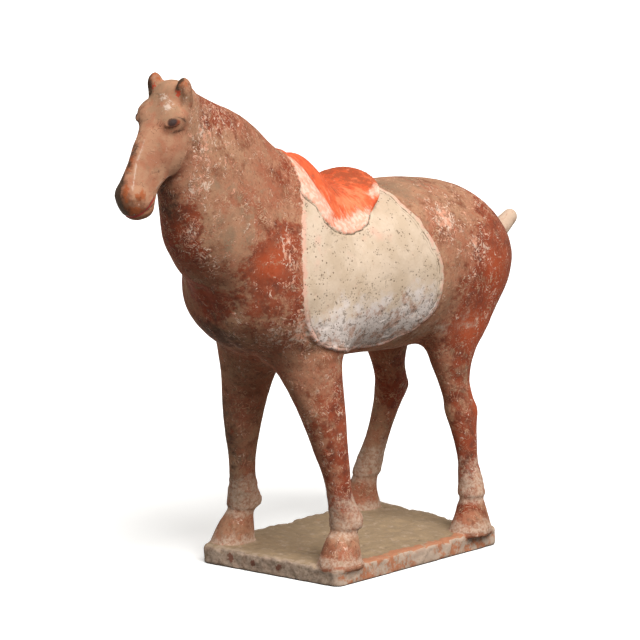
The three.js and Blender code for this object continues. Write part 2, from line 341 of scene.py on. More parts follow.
@dataclass(frozen=True)
class Ring:
    """One cross-section of the trunk between its back line and its belly line."""

    at: float
    top_y: float
    top_z: float
    low_y: float
    low_z: float
    side: float
    square: float = 2.0
    taper: float = 0.0


def swollen(c: Array, d: Array, h: Array, reach: Triple, square: Array) -> Array:
    """The distance to a swelling's surface, from a point's place as shares of its reach.

    Args:
        c: Sideways share.
        d: Upwards share.
        h: Share of the end's dome.
        reach: The half-width, half-height and dome length that the shares are of.
        square: The squareness of the cross-section, 2 for an ellipse.

    Returns:
        Distances in the units of the reach, below zero inside.
    """
    c, d = np.abs(c), np.abs(d)
    flat = (c**square + d**square + TINY) ** (1 / square)
    far = np.sqrt(flat * flat + h * h)
    steep = np.sqrt((c / reach[0]) ** 2 + (d / reach[1]) ** 2 + (h / reach[2]) ** 2 + TINY)
    return far * (far - 1) / steep


class Mass:
    """A mass of clay that knows how far any point is from its surface."""

    def span(self) -> tuple[Triple, Triple]:
        """Its lowest and highest corner, in millimetres."""
        raise NotImplementedError

    def distance(self, x: Array, y: Array, z: Array) -> Array:
        """Distances from points to its surface, in millimetres, below zero inside it."""
        raise NotImplementedError

    def on(self, points: Array) -> Array:
        """Distances from rows of x, y and z."""
        return self.distance(points[:, 0], points[:, 1], points[:, 2])

    def add(self, block: Block, fillet: float = 0.0, reach: float = 12.0) -> None:
        """Adds the mass to a block.

        Args:
            block: The block that it goes into.
            fillet: How softly it runs into what is there.
            reach: How far beyond its corners the block is worked.
        """
        window = self.window(block, max(reach, fillet + 2))
        found = self.distance(*block.places(window))
        block.values[window] = soft_join(block.values[window], found.astype(np.float32), fillet)

    def cut(self, block: Block, fillet: float = 0.0) -> None:
        """Presses the mass out of a block.

        Args:
            block: The block that it is pressed out of.
            fillet: How softly the hollow's rim is rounded.
        """
        window = self.window(block, fillet + 4)
        found = self.distance(*block.places(window))
        block.values[window] = soft_cut(block.values[window], found.astype(np.float32), fillet)

    def window(self, block: Block, margin: float) -> Window:
        """The part of a block that the mass lies in, with a margin round it."""
        low, high = self.span()
        return block.window([v - margin for v in low], [v + margin for v in high])


@dataclass(frozen=True)
class Limb(Mass):
    """A swelling about a straight axis in the side view: a leg, the head or the tail."""

    stations: tuple[Station, ...]
    start: Pair = (0.0, 0.0)
    axis: Pair = (0.0, 1.0)
    over: Pair = (-1.0, 0.0)
    domes: Pair = (3.0, 60.0)
    side: Side = Side.LEFT

    def span(self) -> tuple[Triple, Triple]:
        """Finds its corners from its stations and their reach.

        Returns:
            Its lowest and highest corner, in millimetres.
        """
        corners = []
        for s in self.stations:
            for v in (s.mid + s.over, s.mid - s.under):
                for x in (s.out - s.side * 1.4, s.out + s.side * 1.4):
                    y = self.start[0] + s.at * self.axis[0] + v * self.over[0]
                    z = self.start[1] + s.at * self.axis[1] + v * self.over[1]
                    corners.append((x * SHARE * self.side.value, y * SHARE, z * SHARE + PLINTH_THICKNESS))
        table = np.array(corners)
        return tuple(table.min(0)), tuple(table.max(0))

    def place(self, y: Array, z: Array) -> tuple[Array, Array]:
        """Where points are along the axis and over it, in thousandths."""
        dy, dz = y / SHARE - self.start[0], height(z) - self.start[1]
        return dy * self.axis[0] + dz * self.axis[1], dy * self.over[0] + dz * self.over[1]

    def distance(self, x: Array, y: Array, z: Array) -> Array:
        """Measures the distances to the swelling, with a dome at each end.

        Args:
            x: Sideways places, in millimetres.
            y: Lengthways places.
            z: Heights.

        Returns:
            Distances in millimetres, below zero inside.
        """
        at, v = self.place(y, z)
        names = ("out", "mid", "over", "under", "side", "square", "taper")
        out, mid, over, under, side, square, taper = looked_up(self.stations, at, names)
        v = v - mid
        reach = np.where(v > 0, over, under)
        d = v / reach
        width = side * (1 + taper * np.clip(d, -TAPER_LIMIT, TAPER_LIMIT))
        c = (x * self.side.value / SHARE - out) / width
        h, dome = domed(self.stations, at, self.domes)
        return swollen(c, d, h, (width, reach, dome), square) * SHARE


@dataclass(frozen=True)
class Fan(Mass):
    """A swelling whose rings stand between a back line and a belly line, and fan out between them."""

    rings: tuple[Ring, ...]
    domes: Pair
    samples: int = 260

    def span(self) -> tuple[Triple, Triple]:
        """Finds its corners from its rings.

        Returns:
            Its lowest and highest corner, in millimetres.
        """
        ys = [y * SHARE for r in self.rings for y in (r.top_y, r.low_y)]
        zs = [z * SHARE + PLINTH_THICKNESS for r in self.rings for z in (r.top_z, r.low_z)]
        wide = max(r.side * (1 + abs(r.taper)) for r in self.rings) * SHARE
        return (-wide, min(ys), min(zs)), (wide, max(ys), max(zs))

    def side_view(self, y: Array, z: Array) -> tuple[Array, ...]:
        """Finds the ring through each point of the side view.

        Args:
            y: Lengthways places in millimetres, of any shape.
            z: Heights in millimetres, of the same shape.

        Returns:
            Where the ring stands in the row, the point's share of its height, and the ring's half-height.
        """
        line = np.linspace(self.rings[0].at, self.rings[-1].at, self.samples)
        s = eased(self.rings, line)
        rise = np.stack([s["top_y"] - s["low_y"], s["top_z"] - s["low_z"]], 1)
        length = np.hypot(rise[:, 0], rise[:, 1])
        over = rise / length[:, None]
        middle = np.stack([s["top_y"] + s["low_y"], s["top_z"] + s["low_z"]], 1) / 2
        shape = np.broadcast(y, z).shape
        py = np.broadcast_to(y / SHARE, shape).ravel()
        pz = np.broadcast_to(height(z), shape).ravel()
        at, share, half = (np.empty(len(py), np.float32) for _ in range(3))
        for start in range(0, len(py), BATCH):
            part = slice(start, start + BATCH)
            dy = py[None, part] - middle[:, :1]
            dz = pz[None, part] - middle[:, 1:]
            beside = over[:, 1:] * dy - over[:, :1] * dz
            along = (over[:, :1] * dy + over[:, 1:] * dz) / (length[:, None] / 2)
            passed = (beside[:-1] > 0) != (beside[1:] > 0)
            ranked = np.where(passed, np.abs(along[:-1]), 1e6 + np.abs(beside[:-1]))
            k = ranked.argmin(0)
            column = np.arange(len(k))
            here, there = beside[k, column], beside[k + 1, column]
            crossing = passed[k, column]
            t = np.where(crossing, here / np.where(here == there, 1, here - there), 0)
            beyond = np.where(crossing, 0, np.abs(here))
            ahead = np.where(k > self.samples / 2, beyond, -beyond)
            at[part] = line[k] + t * (line[1] - line[0]) + ahead
            share[part] = along[k, column] * (1 - t) + along[k + 1, column] * t
            half[part] = (length[k] * (1 - t) + length[k + 1] * t) / 2
        return at.reshape(shape), share.reshape(shape), half.reshape(shape)

    def distance(self, x: Array, y: Array, z: Array) -> Array:
        """Measures the distances to the fanned swelling, with a dome at each end.

        Args:
            x: Sideways places, in millimetres.
            y: Lengthways places.
            z: Heights.

        Returns:
            Distances in millimetres, below zero inside.
        """
        at, d, half = self.side_view(y, z)
        side, square, taper = looked_up(self.rings, at, ("side", "square", "taper"))
        width = side * (1 + taper * np.clip(d, -TAPER_LIMIT, TAPER_LIMIT))
        h, dome = domed(self.rings, at, self.domes)
        return swollen(x / SHARE / width, d, h, (width, half, dome), square) * SHARE


@dataclass(frozen=True)
class Egg(Mass):
    """A rounded lump or hollow, in thousandths, leaning forward in the side view and turned outwards."""

    middle: Triple
    half: Triple
    lean: float = 0.0
    turn: float = 0.0
    side: Side = Side.LEFT

    def span(self) -> tuple[Triple, Triple]:
        """Finds its corners from its longest half-size.

        Returns:
            Its lowest and highest corner, in millimetres.
        """
        x, y, z = self.middle
        centre = (x * self.side.value * SHARE, y * SHARE, z * SHARE + PLINTH_THICKNESS)
        most = max(self.half) * SHARE
        return tuple(v - most for v in centre), tuple(v + most for v in centre)

    def distance(self, x: Array, y: Array, z: Array) -> Array:
        """Measures the distances to the egg.

        Args:
            x: Sideways places, in millimetres.
            y: Lengthways places.
            z: Heights.

        Returns:
            Distances in millimetres, below zero inside.
        """
        px = x * self.side.value / SHARE - self.middle[0]
        py = y / SHARE - self.middle[1]
        pz = height(z) - self.middle[2]
        c, s = math.cos(self.lean), math.sin(self.lean)
        py, pz = c * py + s * pz, c * pz - s * py
        c, s = math.cos(self.turn), math.sin(self.turn)
        px, py = c * px - s * py, s * px + c * py
        a, b, e = (p / h for p, h in zip((px, py, pz), self.half))
        far = np.sqrt(a * a + b * b + e * e + TINY)
        steep = np.sqrt((a / self.half[0]) ** 2 + (b / self.half[1]) ** 2 + (e / self.half[2]) ** 2 + TINY)
        return far * (far - 1) / steep * SHARE


def both(egg: Egg) -> list[Egg]:
    """An egg and its mirror image on the other side."""
    return [egg, replace(egg, side=Side.RIGHT)]


@dataclass(frozen=True)
class Outline:
    """A closed smooth outline in the side view, in thousandths."""

    points: tuple[Pair, ...]
    steps: int = 4

    def curve(self) -> Array:
        """Draws the outline as a smooth line through its points.

        Returns:
            Its corners in millimetres, closely spaced.
        """
        p = np.array(self.points, float)
        padded = np.vstack([2 * p[0] - p[1], p, 2 * p[-1] - p[-2]])
        found = []
        for i in range(len(p) - 1):
            a, b, c, d = padded[i : i + 4]
            for t in np.arange(self.steps) / self.steps:
                bend = (-a + 3 * b - 3 * c + d) * t**3 + (2 * a - 5 * b + 4 * c - d) * t**2
                found.append((bend + (c - a) * t + 2 * b) / 2)
        found.append(p[-1])
        return np.array(found) * SHARE + [0, PLINTH_THICKNESS]

    def distance(self, y: Array, z: Array) -> Array:
        """Distances to the outline in the side view, in millimetres, below zero inside."""
        return ring_distance(self.curve(), y, z)


def ring_distance(corners: Array, u: Array, v: Array) -> Array:
    """Distances from points of a plane to a closed outline.

    Args:
        corners: The outline's corners.
        u: First place of each point.
        v: Second place of each point, of a shape that spreads over the first.

    Returns:
        Distances, below zero inside.
    """
    nearest = np.full(np.broadcast(u, v).shape, 1e9, np.float32)
    inside = np.zeros(nearest.shape, bool)
    for a, b in zip(corners, np.roll(corners, -1, axis=0)):
        edge = b - a
        along = np.clip(((u - a[0]) * edge[0] + (v - a[1]) * edge[1]) / (edge @ edge + TINY), 0, 1)
        du, dv = u - a[0] - along * edge[0], v - a[1] - along * edge[1]
        nearest = np.minimum(nearest, du * du + dv * dv)
        if a[1] != b[1]:
            crossing = ((a[1] > v) != (b[1] > v)) & (u < edge[0] * (v - a[1]) / edge[1] + a[0])
            inside ^= crossing
    return np.where(inside, -1, 1) * np.sqrt(nearest)


class Skin:
    """The clay's surface as loose arrays: points in millimetres, normals and faces."""

    def __init__(self, points: Array, quads: Array) -> None:
        """Keeps the surface.

        Args:
            points: Rows of x, y and z, in millimetres.
            quads: The four points of each face.
        """
        self.points = points
        self.quads = quads
        self.normals = self._normals()

    @classmethod
    def of(cls, block: Block) -> Skin:
        """Draws the skin through a block where its distance is zero.

        Args:
            block: The shaped block.

        Returns:
            A skin with one point for each cell that the surface passes.
        """
        values = block.values
        inside = values < 0
        counts = tuple(n - 1 for n in values.shape)
        corners = [tuple(slice(c, c + n) for c, n in zip(k, counts)) for k in np.ndindex(2, 2, 2)]
        some, every = np.zeros(counts, bool), np.ones(counts, bool)
        for corner in corners:
            some |= inside[corner]
            every &= inside[corner]
        cells = np.argwhere(some & ~every)
        numbers = np.full(counts, -1, np.int32)
        numbers[tuple(cells.T)] = np.arange(len(cells))
        total, crossings = np.zeros((len(cells), 3)), np.zeros(len(cells))
        for axis in range(3):
            others = [k for k in range(3) if k != axis]
            for a, b in np.ndindex(2, 2):
                start = np.zeros(3, int)
                start[others[0]], start[others[1]] = a, b
                stop = start.copy()
                stop[axis] = 1
                here = values[tuple((cells + start).T)].astype(np.float64)
                there = values[tuple((cells + stop).T)].astype(np.float64)
                crossed = (here < 0) != (there < 0)
                t = np.where(crossed, here / np.where(crossed, here - there, 1), 0)
                place = np.repeat(start[None, :].astype(float), len(cells), 0)
                place[:, axis] += t
                total += place * crossed[:, None]
                crossings += crossed
        points = block.low + block.step * (cells + total / crossings[:, None])
        return cls(points, cls._faces(inside, numbers))

    @staticmethod
    def _faces(inside: Array, numbers: Array) -> Array:
        """Joins the four cells round every edge that the surface crosses.

        Args:
            inside: Which of the block's points lie in the clay.
            numbers: The number of each cell's point on the skin.

        Returns:
            Faces that look outwards.
        """
        faces = []
        for axis in range(3):
            u, v = (axis + 1) % 3, (axis + 2) % 3
            first = [slice(1, n - 1) for n in inside.shape]
            first[axis] = slice(0, inside.shape[axis] - 1)
            second = list(first)
            second[axis] = slice(1, inside.shape[axis])
            here, there = inside[tuple(first)], inside[tuple(second)]
            for crossed, order in ((here & ~there, 1), (~here & there, -1)):
                base = np.argwhere(crossed) + [s.start for s in first]
                ring = []
                for du, dv in ((0, 0), (1, 0), (1, 1), (0, 1)):
                    cell = base.copy()
                    cell[:, u] -= 1 - du
                    cell[:, v] -= 1 - dv
                    ring.append(numbers[tuple(cell.T)])
                faces.append(np.stack(ring[::order], 1))
        return np.vstack(faces)

    def _normals(self) -> Array:
        """Works out which way the surface looks.

        Returns:
            The outward normal at each point.
        """
        a, b, c, d = (self.points[self.quads[:, k]] for k in range(4))
        across = np.cross(c - a, d - b)
        total = np.zeros_like(self.points)
        for k in range(4):
            for axis in range(3):
                total[:, axis] += np.bincount(self.quads[:, k], across[:, axis], len(self.points))
        return total / (np.linalg.norm(total, axis=1, keepdims=True) + TINY)

    def relax(self, rounds: int, share: float) -> None:
        """Draws each point towards the middle of its neighbours, to take the steps of the cells away.

        Args:
            rounds: How many times this is done.
            share: How far of the way each point goes.
        """
        pairs = np.vstack([self.quads[:, [k, (k + 1) % 4]] for k in range(4)])
        count = np.bincount(pairs.ravel(), minlength=len(self.points))[:, None]
        for _ in range(rounds):
            total = np.zeros_like(self.points)
            for axis in range(3):
                for a, b in ((0, 1), (1, 0)):
                    total[:, axis] += np.bincount(pairs[:, a], self.points[pairs[:, b], axis], len(self.points))
            self.points = self.points + share * (total / count - self.points)
        self.normals = self._normals()

    def press(self, depth: Array) -> None:
        """Moves each point along its normal, outwards for a depth above zero."""
        self.points = self.points + self.normals * depth[:, None]


@dataclass(frozen=True)
class Groove:
    """A line drawn or pressed into the clay, or a ridge raised on it, through points in millimetres."""

    path: tuple[Triple, ...]
    depth: float
    width: float
    mirrored: bool = True

    def on(self, points: Array) -> Array:
        """Measures the distances to the line.

        Args:
            points: Rows of x, y and z, in millimetres.

        Returns:
            One distance for each point.
        """
        best = np.full(len(points), 1e9)
        for sign in (1, -1) if self.mirrored else (1,):
            path = np.array(self.path, float) * [sign, 1, 1]
            for a, b in zip(path[:-1], path[1:]):
                edge = b - a
                along = np.clip((points - a) @ edge / (edge @ edge), 0, 1)
                best = np.minimum(best, ((points - a - along[:, None] * edge) ** 2).sum(1))
        return np.sqrt(best)

    def relief(self, points: Array) -> Array:
        """How far it moves the skin at each point, outwards above zero."""
        return self.depth * np.exp(-((self.on(points) / self.width) ** 2))


@dataclass(frozen=True)
class Patch:
    """A soft patch of the finish, round a middle in millimetres."""

    middle: Triple
    reach: Triple
    strength: float = 1.0

    def on(self, points: Array) -> Array:
        """How strong the patch is at rows of x, y and z."""
        away = (((points - self.middle) / self.reach) ** 2).sum(1)
        return self.strength * np.exp(-away)


def patches(*rows: tuple[float, ...]) -> tuple[Patch, ...]:
    """Patches from rows that each hold a middle's three places, three reaches and a strength."""
    return tuple(Patch(row[:3], row[3:6], row[6]) for row in rows)


@dataclass(frozen=True)
class Trunk:
    """Barrel and neck, from the rump to the poll."""

    domes: Pair = (110.0, 40.0)
    rings: tuple[Ring, ...] = (
        Ring(-376, 376, 596, 376, 412, 122),
        Ring(-320, 320, 632, 320, 420, 138),
        Ring(-251, 251, 663, 251, 405, 147, 2.1),
        Ring(-160, 160, 683, 160, 368, 152, 2.15),
        Ring(-83, 83, 691, 83, 360, 153, 2.15),
        Ring(64, -64, 692, -64, 372, 152, 2.15),
        Ring(125, -118, 700, -132, 373, 150, 2, -0.08),
        Ring(190, -165, 736, -215, 378, 147, 2, -0.18),
        Ring(250, -198, 776, -288, 400, 141, 2.05, -0.26),
        Ring(310, -216, 790, -350, 432, 133, 2.1, -0.32),
        Ring(365, -232, 804, -397, 474, 121, 2.1, -0.34),
        Ring(410, -250, 819, -413, 518, 108, 2.05, -0.34),
        Ring(455, -270, 837, -436, 557, 98, 2, -0.34),
        Ring(500, -295, 860, -475, 598, 88, 2, -0.33),
        Ring(550, -327, 884, -511, 647, 78, 2, -0.3),
        Ring(605, -362, 903, -530, 712, 67, 2, -0.26),
        Ring(660, -402, 921, -546, 777, 57, 2, -0.2),
        Ring(712, -445, 944, -555, 836, 49, 2, -0.12),
        Ring(757, -488, 968, -560, 890, 43),
        Ring(795, -522, 985, -562, 930, 38),
    )
    creases: tuple[Groove, ...] = (
        Groove((
            (0, -192, 258), (0, -184, 241), (0, -175, 222), (0, -152, 204), (0, -125, 190),
        ), -1.8, 6, False),
        Groove(((8, -182, 230), (30, -166, 209), (50, -132, 199), (62, -100, 202)), -1.6, 5),
        Groove(((22, -190, 264), (28, -182, 240), (31, -168, 214)), -1.2, 6),
        Groove(((16, -226, 352), (24, -222, 330), (30, -214, 306)), -0.7, 7),
    )

    def shape(self, block: Block) -> None:
        """Builds the barrel and neck in the block."""
        Fan(self.rings, self.domes).add(block)


def bump(at: float, middle: float, reach: float) -> float:
    """A smooth swell of 1 at the middle, fading over the reach."""
    return math.exp(-(((at - middle) / reach) ** 2))


FORELEG = (
    Station(HOOF_ROOT, 139, 196, 47, 46, 39, 2.3),
    Station(4, 139, 196, 46, 44, 38, 2.3),
    Station(30, 137, 190, 39, 36, 33, 2.2),
    Station(50, 135, 184, 33, 30, 28, 2.1),
    Station(60, 134, 179, 27, 27, 26),
    Station(68, 133, 176, 27, 38, 28),
    Station(80, 132, 175, 28, 40, 29),
    Station(101, 130, 178, 27, 32, 27),
    Station(131, 126, 184, 25, 26, 25),
    Station(170, 122, 189, 27, 27, 27),
    Station(221, 114, 198, 34, 35, 34),
    Station(280, 104, 204, 42, 44, 42),
    Station(335, 90, 208, 53, 52, 50),
    Station(390, 73, 212, 68, 57, 68),
    Station(440, 72, 213, 78, 73, 69),
    Station(540, 70, 215, 95, 90, 68),
)
HINDLEG = (
    Station(HOOF_ROOT, 144, -180, 45, 44, 37, 2.3),
    Station(4, 144, -180, 44, 42, 36, 2.3),
    Station(30, 142, -184, 35, 32, 30, 2.2),
    Station(50, 140, -186, 27, 26, 26, 2.1),
    Station(60, 139, -187, 23, 25, 24),
    Station(74, 137, -188, 22, 26, 25),
    Station(100, 132, -190, 20, 25, 22),
    Station(134, 125, -192, 19, 21, 19),
    Station(193, 112, -193, 24, 27, 22),
    Station(229, 103, -192, 28, 41, 27),
    Station(253, 99, -192, 29, 33, 27),
    Station(290, 93, -189, 35, 29, 30),
    Station(342, 87, -190, 53, 44, 42),
    Station(400, 84, -206, 84, 75, 56),
    Station(480, 78, -232, 105, 98, 68),
    Station(600, 68, -238, 100, 92, 70),
)


@dataclass(frozen=True)
class Leg:
    """One leg with its hoof and its fetlock."""

    stations: tuple[Station, ...]
    side: Side
    dome: float
    fillet: float = 15.0

    def mass(self) -> Limb:
        """The leg as one swelling, with its top inside the barrel."""
        return Limb(self.stations, domes=(3.0, self.dome), side=self.side)

    def shape(self, block: Block) -> None:
        """Builds the leg in the block and runs it into the barrel."""
        self.mass().add(block, self.fillet)


def bent_hock(station: Station) -> Station:
    """Bends a station of a hind leg more at the hock and thickens it below.

    Args:
        station: The station of the plain leg.

    Returns:
        The station of the right hind leg.
    """
    bend = bump(station.at, 235, 95)
    return replace(
        station,
        at=station.at + 10 * bend,
        mid=station.mid - 30 * bend,
        over=station.over + 9 * bump(station.at, 265, 60),
        under=station.under + 14 * bump(station.at, 150, 75) - 8 * bump(station.at, 40, 15),
    )


def four_legs() -> list[Leg]:
    """Makes the legs, of which the right foreleg alone is plain.

    The left foreleg is heavier above the knee, the left hind leg is fuller behind its hock, and the
    right hind leg is bent more.

    Returns:
        The left and right forelegs, then the left and right hind legs.
    """
    left_fore = tuple(replace(s, over=s.over + 9 * bump(s.at, 330, 60)) for s in FORELEG)
    left_hind = tuple(replace(s, under=s.under + 6 * bump(s.at, 205, 35)) for s in HINDLEG)
    return [
        Leg(left_fore, Side.LEFT, 70.0),
        Leg(FORELEG, Side.RIGHT, 70.0),
        Leg(left_hind, Side.LEFT, 90.0),
        Leg(tuple(bent_hock(s) for s in HINDLEG), Side.RIGHT, 90.0),
    ]


@dataclass(frozen=True)
class Tail:
    """The docked tail, a stub that rises behind the rump."""

    tilt: float = 0.54
    stations: tuple[Station, ...] = (
        Station(0, 0, 0, 30, 30, 28),
        Station(80, 0, 0, 24, 22, 22),
        Station(165, 0, 0, 15, 13, 13),
    )

    def mass(self) -> Limb:
        """The tail as one swelling."""
        c, s = math.cos(self.tilt), math.sin(self.tilt)
        return Limb(self.stations, (330, 478), (c, s), (-s, c), (10.0, 14.0))

    def shape(self, block: Block) -> None:
        """Builds the tail in the block."""
        self.mass().add(block, 5)


@dataclass(frozen=True)
class Saddlecloth:
    """The saddlecloth over the barrel, and the two flaps of the saddle that lie on it."""

    cloth: Outline = Outline((
        (-216, 830), (-240, 750), (-288, 648), (-306, 577), (-302, 510), (-268, 452), (-200, 420), (-99, 402),
        (0, 406), (55, 430), (86, 480), (88, 530), (74, 588), (52, 636), (38, 680), (38, 830),
    ))
    flap: Outline = Outline((
        (-215, 830), (-246, 740), (-240, 718), (-224, 704), (-214, 678), (-188, 656), (-152, 642),
        (-115, 642), (-84, 651), (-64, 668), (-40, 700), (-10, 735), (0, 830),
    ))
    cloth_thickness: float = 1.6
    flap_thickness: float = 3.4
    rim_round: float = 1.0
    fillet: float = 0.8
    cloth_waver: Texture = Texture(17, 13, 3)
    flap_waver: Texture = Texture(19, 13, 3, 1.2)
    hem_heights: Pair = (262.0, 205.0)
    rear_heights: Pair = (200.0, 215.0)
    reach: tuple[Triple, Triple] = ((-75, -145, 170), (75, 50, 385))

    def within(self, y: Array, z: Array) -> tuple[Array, Array]:
        """Measures inwards from the wavering edges, of which the cloth's rear one is the roughest.

        Args:
            y: Lengthways places, in millimetres.
            z: Heights, of a shape that spreads over the first.

        Returns:
            Distances from the cloth's edge and from the flap's, above zero inside them.
        """
        y, z = np.broadcast_arrays(y, z)
        at = np.stack([np.zeros(y.size), y.ravel(), z.ravel()], axis=1)
        rough = 1.0 * smooth(at[:, 1], -60, 10) + 0.8
        cloth = self.cloth_waver.on(at, rough)
        flap = self.flap_waver.on(at)
        return (
            cloth.reshape(y.shape) - self.cloth.distance(y, z),
            flap.reshape(y.shape) - self.flap.distance(y, z),
        )

    def shape(self, block: Block) -> None:
        """Lays the cloth, then the flaps, over the trunk and the legs.

        Args:
            block: The block that holds the trunk and the legs.
        """
        window = block.window(*self.reach)
        _, y, z = block.places(window)
        bare = block.values[window].copy()
        cloth, flap = self.within(y[0], z[0])
        for inside, thickness in ((cloth, self.cloth_thickness), (flap, self.flap_thickness)):
            layer = soft_cut(bare - thickness, inside[None], self.rim_round)
            block.values[window] = soft_join(block.values[window], layer.astype(np.float32), self.fillet)


@dataclass(frozen=True)
class Saddle:
    """The saddle, from the pommel over the seat to the cantle."""

    rings: tuple[Ring, ...] = (
        Ring(-212, -212, 790, -240, 660, 52, 1.7),
        Ring(-182, -182, 790, -226, 640, 66, 1.65),
        Ring(-150, -150, 774, -206, 630, 78, 1.65),
        Ring(-122, -122, 740, -182, 620, 88, 1.7),
        Ring(-95, -95, 714, -152, 610, 95, 1.8),
        Ring(-60, -60, 704, -118, 610, 98, 1.9),
        Ring(-32, -32, 713, -92, 622, 98, 1.9),
        Ring(-8, -8, 731, -66, 642, 94, 1.9),
        Ring(5, 5, 728, -54, 650, 92, 1.9),
    )

    def mass(self) -> Fan:
        """The saddle as one fanned swelling."""
        return Fan(self.rings, (8.0, 8.0))

    def shape(self, block: Block) -> None:
        """Builds the saddle in the block."""
        self.mass().add(block, 2.5)


@dataclass(frozen=True)
class Head:
    """The head with its ears, brows, eyes, cheeks, nostrils and mouth."""

    start: Pair = (-525.0, 968.0)
    tilt: float = math.atan2(230, 120)
    stations: tuple[Station, ...] = (
        Station(-21, 0, -5, 27, 30, 34, 2.4),
        Station(25, 0, -5, 31, 44, 42, 2.6),
        Station(57, 0, -5, 37, 48, 46, 2.6),
        Station(80, 0, -5, 43, 51, 43, 2.4, -0.15),
        Station(105, 0, -5, 49, 53, 40, 2.3, -0.32),
        Station(135, 0, -4, 53, 48, 35, 2.3, -0.38),
        Station(165, 0, -2, 52, 40, 30, 2.3, -0.34),
        Station(192, 0, 2, 50, 34, 28, 2.3, -0.25),
        Station(222, 0, 4, 46, 40, 31, 2.4, -0.1),
        Station(262, 0, -2, 38, 34, 30, 2.4),
    )
    brow: Egg = Egg((29, -554, 923), (27, 32, 25), 0.6)
    cheek: Egg = Egg((17, -546, 858), (31, 47, 50), 0.3)
    nostril_rim: Egg = Egg((15, -644, 778), (17, 20, 25), 0.5)
    chin: Egg = Egg((0, -612, 752), (22, 20, 19), 0.5)
    ear: Egg = Egg((37, -531, 962), (14.5, 17, 38), 0.1)
    ear_tip: Egg = Egg((38, -533, 978), (13.5, 14, 17), 0.1)
    socket: Egg = Egg((51, -576, 918), (9, 19, 12), 0.3, 0.5)
    eyeball: Egg = Egg((42, -570, 918), (10.5, 15, 7.8), 0.3, 0.5)
    pupil: Egg = Egg((45, -575, 920), (9, 11, 7), 0.3)
    nostril: Egg = Egg((32, -657, 775), (6, 6, 10), 0.9)
    mouth: Egg = Egg((29, -622, 754), (6, 26, 2.4), 0.46)
    ear_cup: Egg = Egg((41, -549, 966), (8, 6.5, 23), 0.1)
    lip: Groove = Groove((
        (13, -264.5, 353.2), (13.4, -269, 350), (13.2, -273, 346), (11.5, -277, 342), (7, -281.5, 339.4),
        (0, -284.5, 338.4),
    ), -0.8, 1.2)
    upper_lip: Groove = Groove(((13.3, -268, 354), (13.5, -274.7, 350), (12.4, -279, 346)), 0.5, 1.2)
    nose_ridge: Groove = Groove((
        (5, -262, 408.5), (4.3, -268, 401.6), (4.7, -272.3, 394.7), (4.4, -278.4, 383.6), (6.2, -283, 372.6),
        (8.4, -287.3, 363.3), (9.4, -289, 355.2),
    ), 0.5, 1.6)
    jaw_line: Groove = Groove((
        (12.5, -262.5, 361.5), (13, -257, 365.5), (13.3, -250, 368.5), (13.4, -242, 371),
    ), 0.4, 1.4)
    upper_lid: Groove = Groove((
        (16.3, -254, 414), (19, -252, 419), (22.3, -248.5, 421), (24.6, -243.5, 419), (25, -239, 416),
    ), 1.0, 1.5)
    lower_lid: Groove = Groove((
        (16.3, -254, 414), (19.8, -251.6, 411.6), (22.6, -248.5, 412), (24.6, -243.5, 415.5),
    ), 0.5, 1.2)
    jaw_fillet: float = 2.5
    poll_fillet: float = 9.0
    jaw_heights: Pair = (374.0, 402.0)

    @property
    def lines(self) -> tuple[Groove, ...]:
        """Every line tooled into the head."""
        return self.lip, self.upper_lip, self.nose_ridge, self.jaw_line, self.upper_lid, self.lower_lid

    def mass(self) -> Limb:
        """The head from the poll down to the lips, as one swelling."""
        c, s = math.cos(self.tilt), math.sin(self.tilt)
        return Limb(self.stations, self.start, (-c, -s), (-s, c), (26.0, 34.0))

    def shape(self, block: Block) -> None:
        """Runs the head into the neck, more softly above than under the jaw, then adds its features.

        Args:
            block: The block that holds the neck.
        """
        mass = self.mass()
        window = mass.window(block, 14)
        x, y, z = block.places(window)
        fillet = self.jaw_fillet + self.poll_fillet * smooth(z, *self.jaw_heights)
        found = mass.distance(x, y, z).astype(np.float32)
        neck = block.values[window]
        near = np.maximum(fillet - np.abs(neck - found), 0) / fillet
        block.values[window] = np.minimum(neck, found) - near * near * fillet / 4
        lumps = (
            (self.cheek, 5), (self.brow, 4), (self.nostril_rim, 3), (self.ear, 3), (self.ear_tip, 3),
        )
        for lump, fillet in lumps:
            for egg in both(lump):
                egg.add(block, fillet)
        self.chin.add(block, 3)
        hollows = ((self.socket, 3), (self.nostril, 1.6), (self.ear_cup, 1.8), (self.mouth, 1.2))
        for hollow, fillet in hollows:
            for egg in both(hollow):
                egg.cut(block, fillet)
        for egg in both(self.eyeball):
            egg.add(block, 0.8)


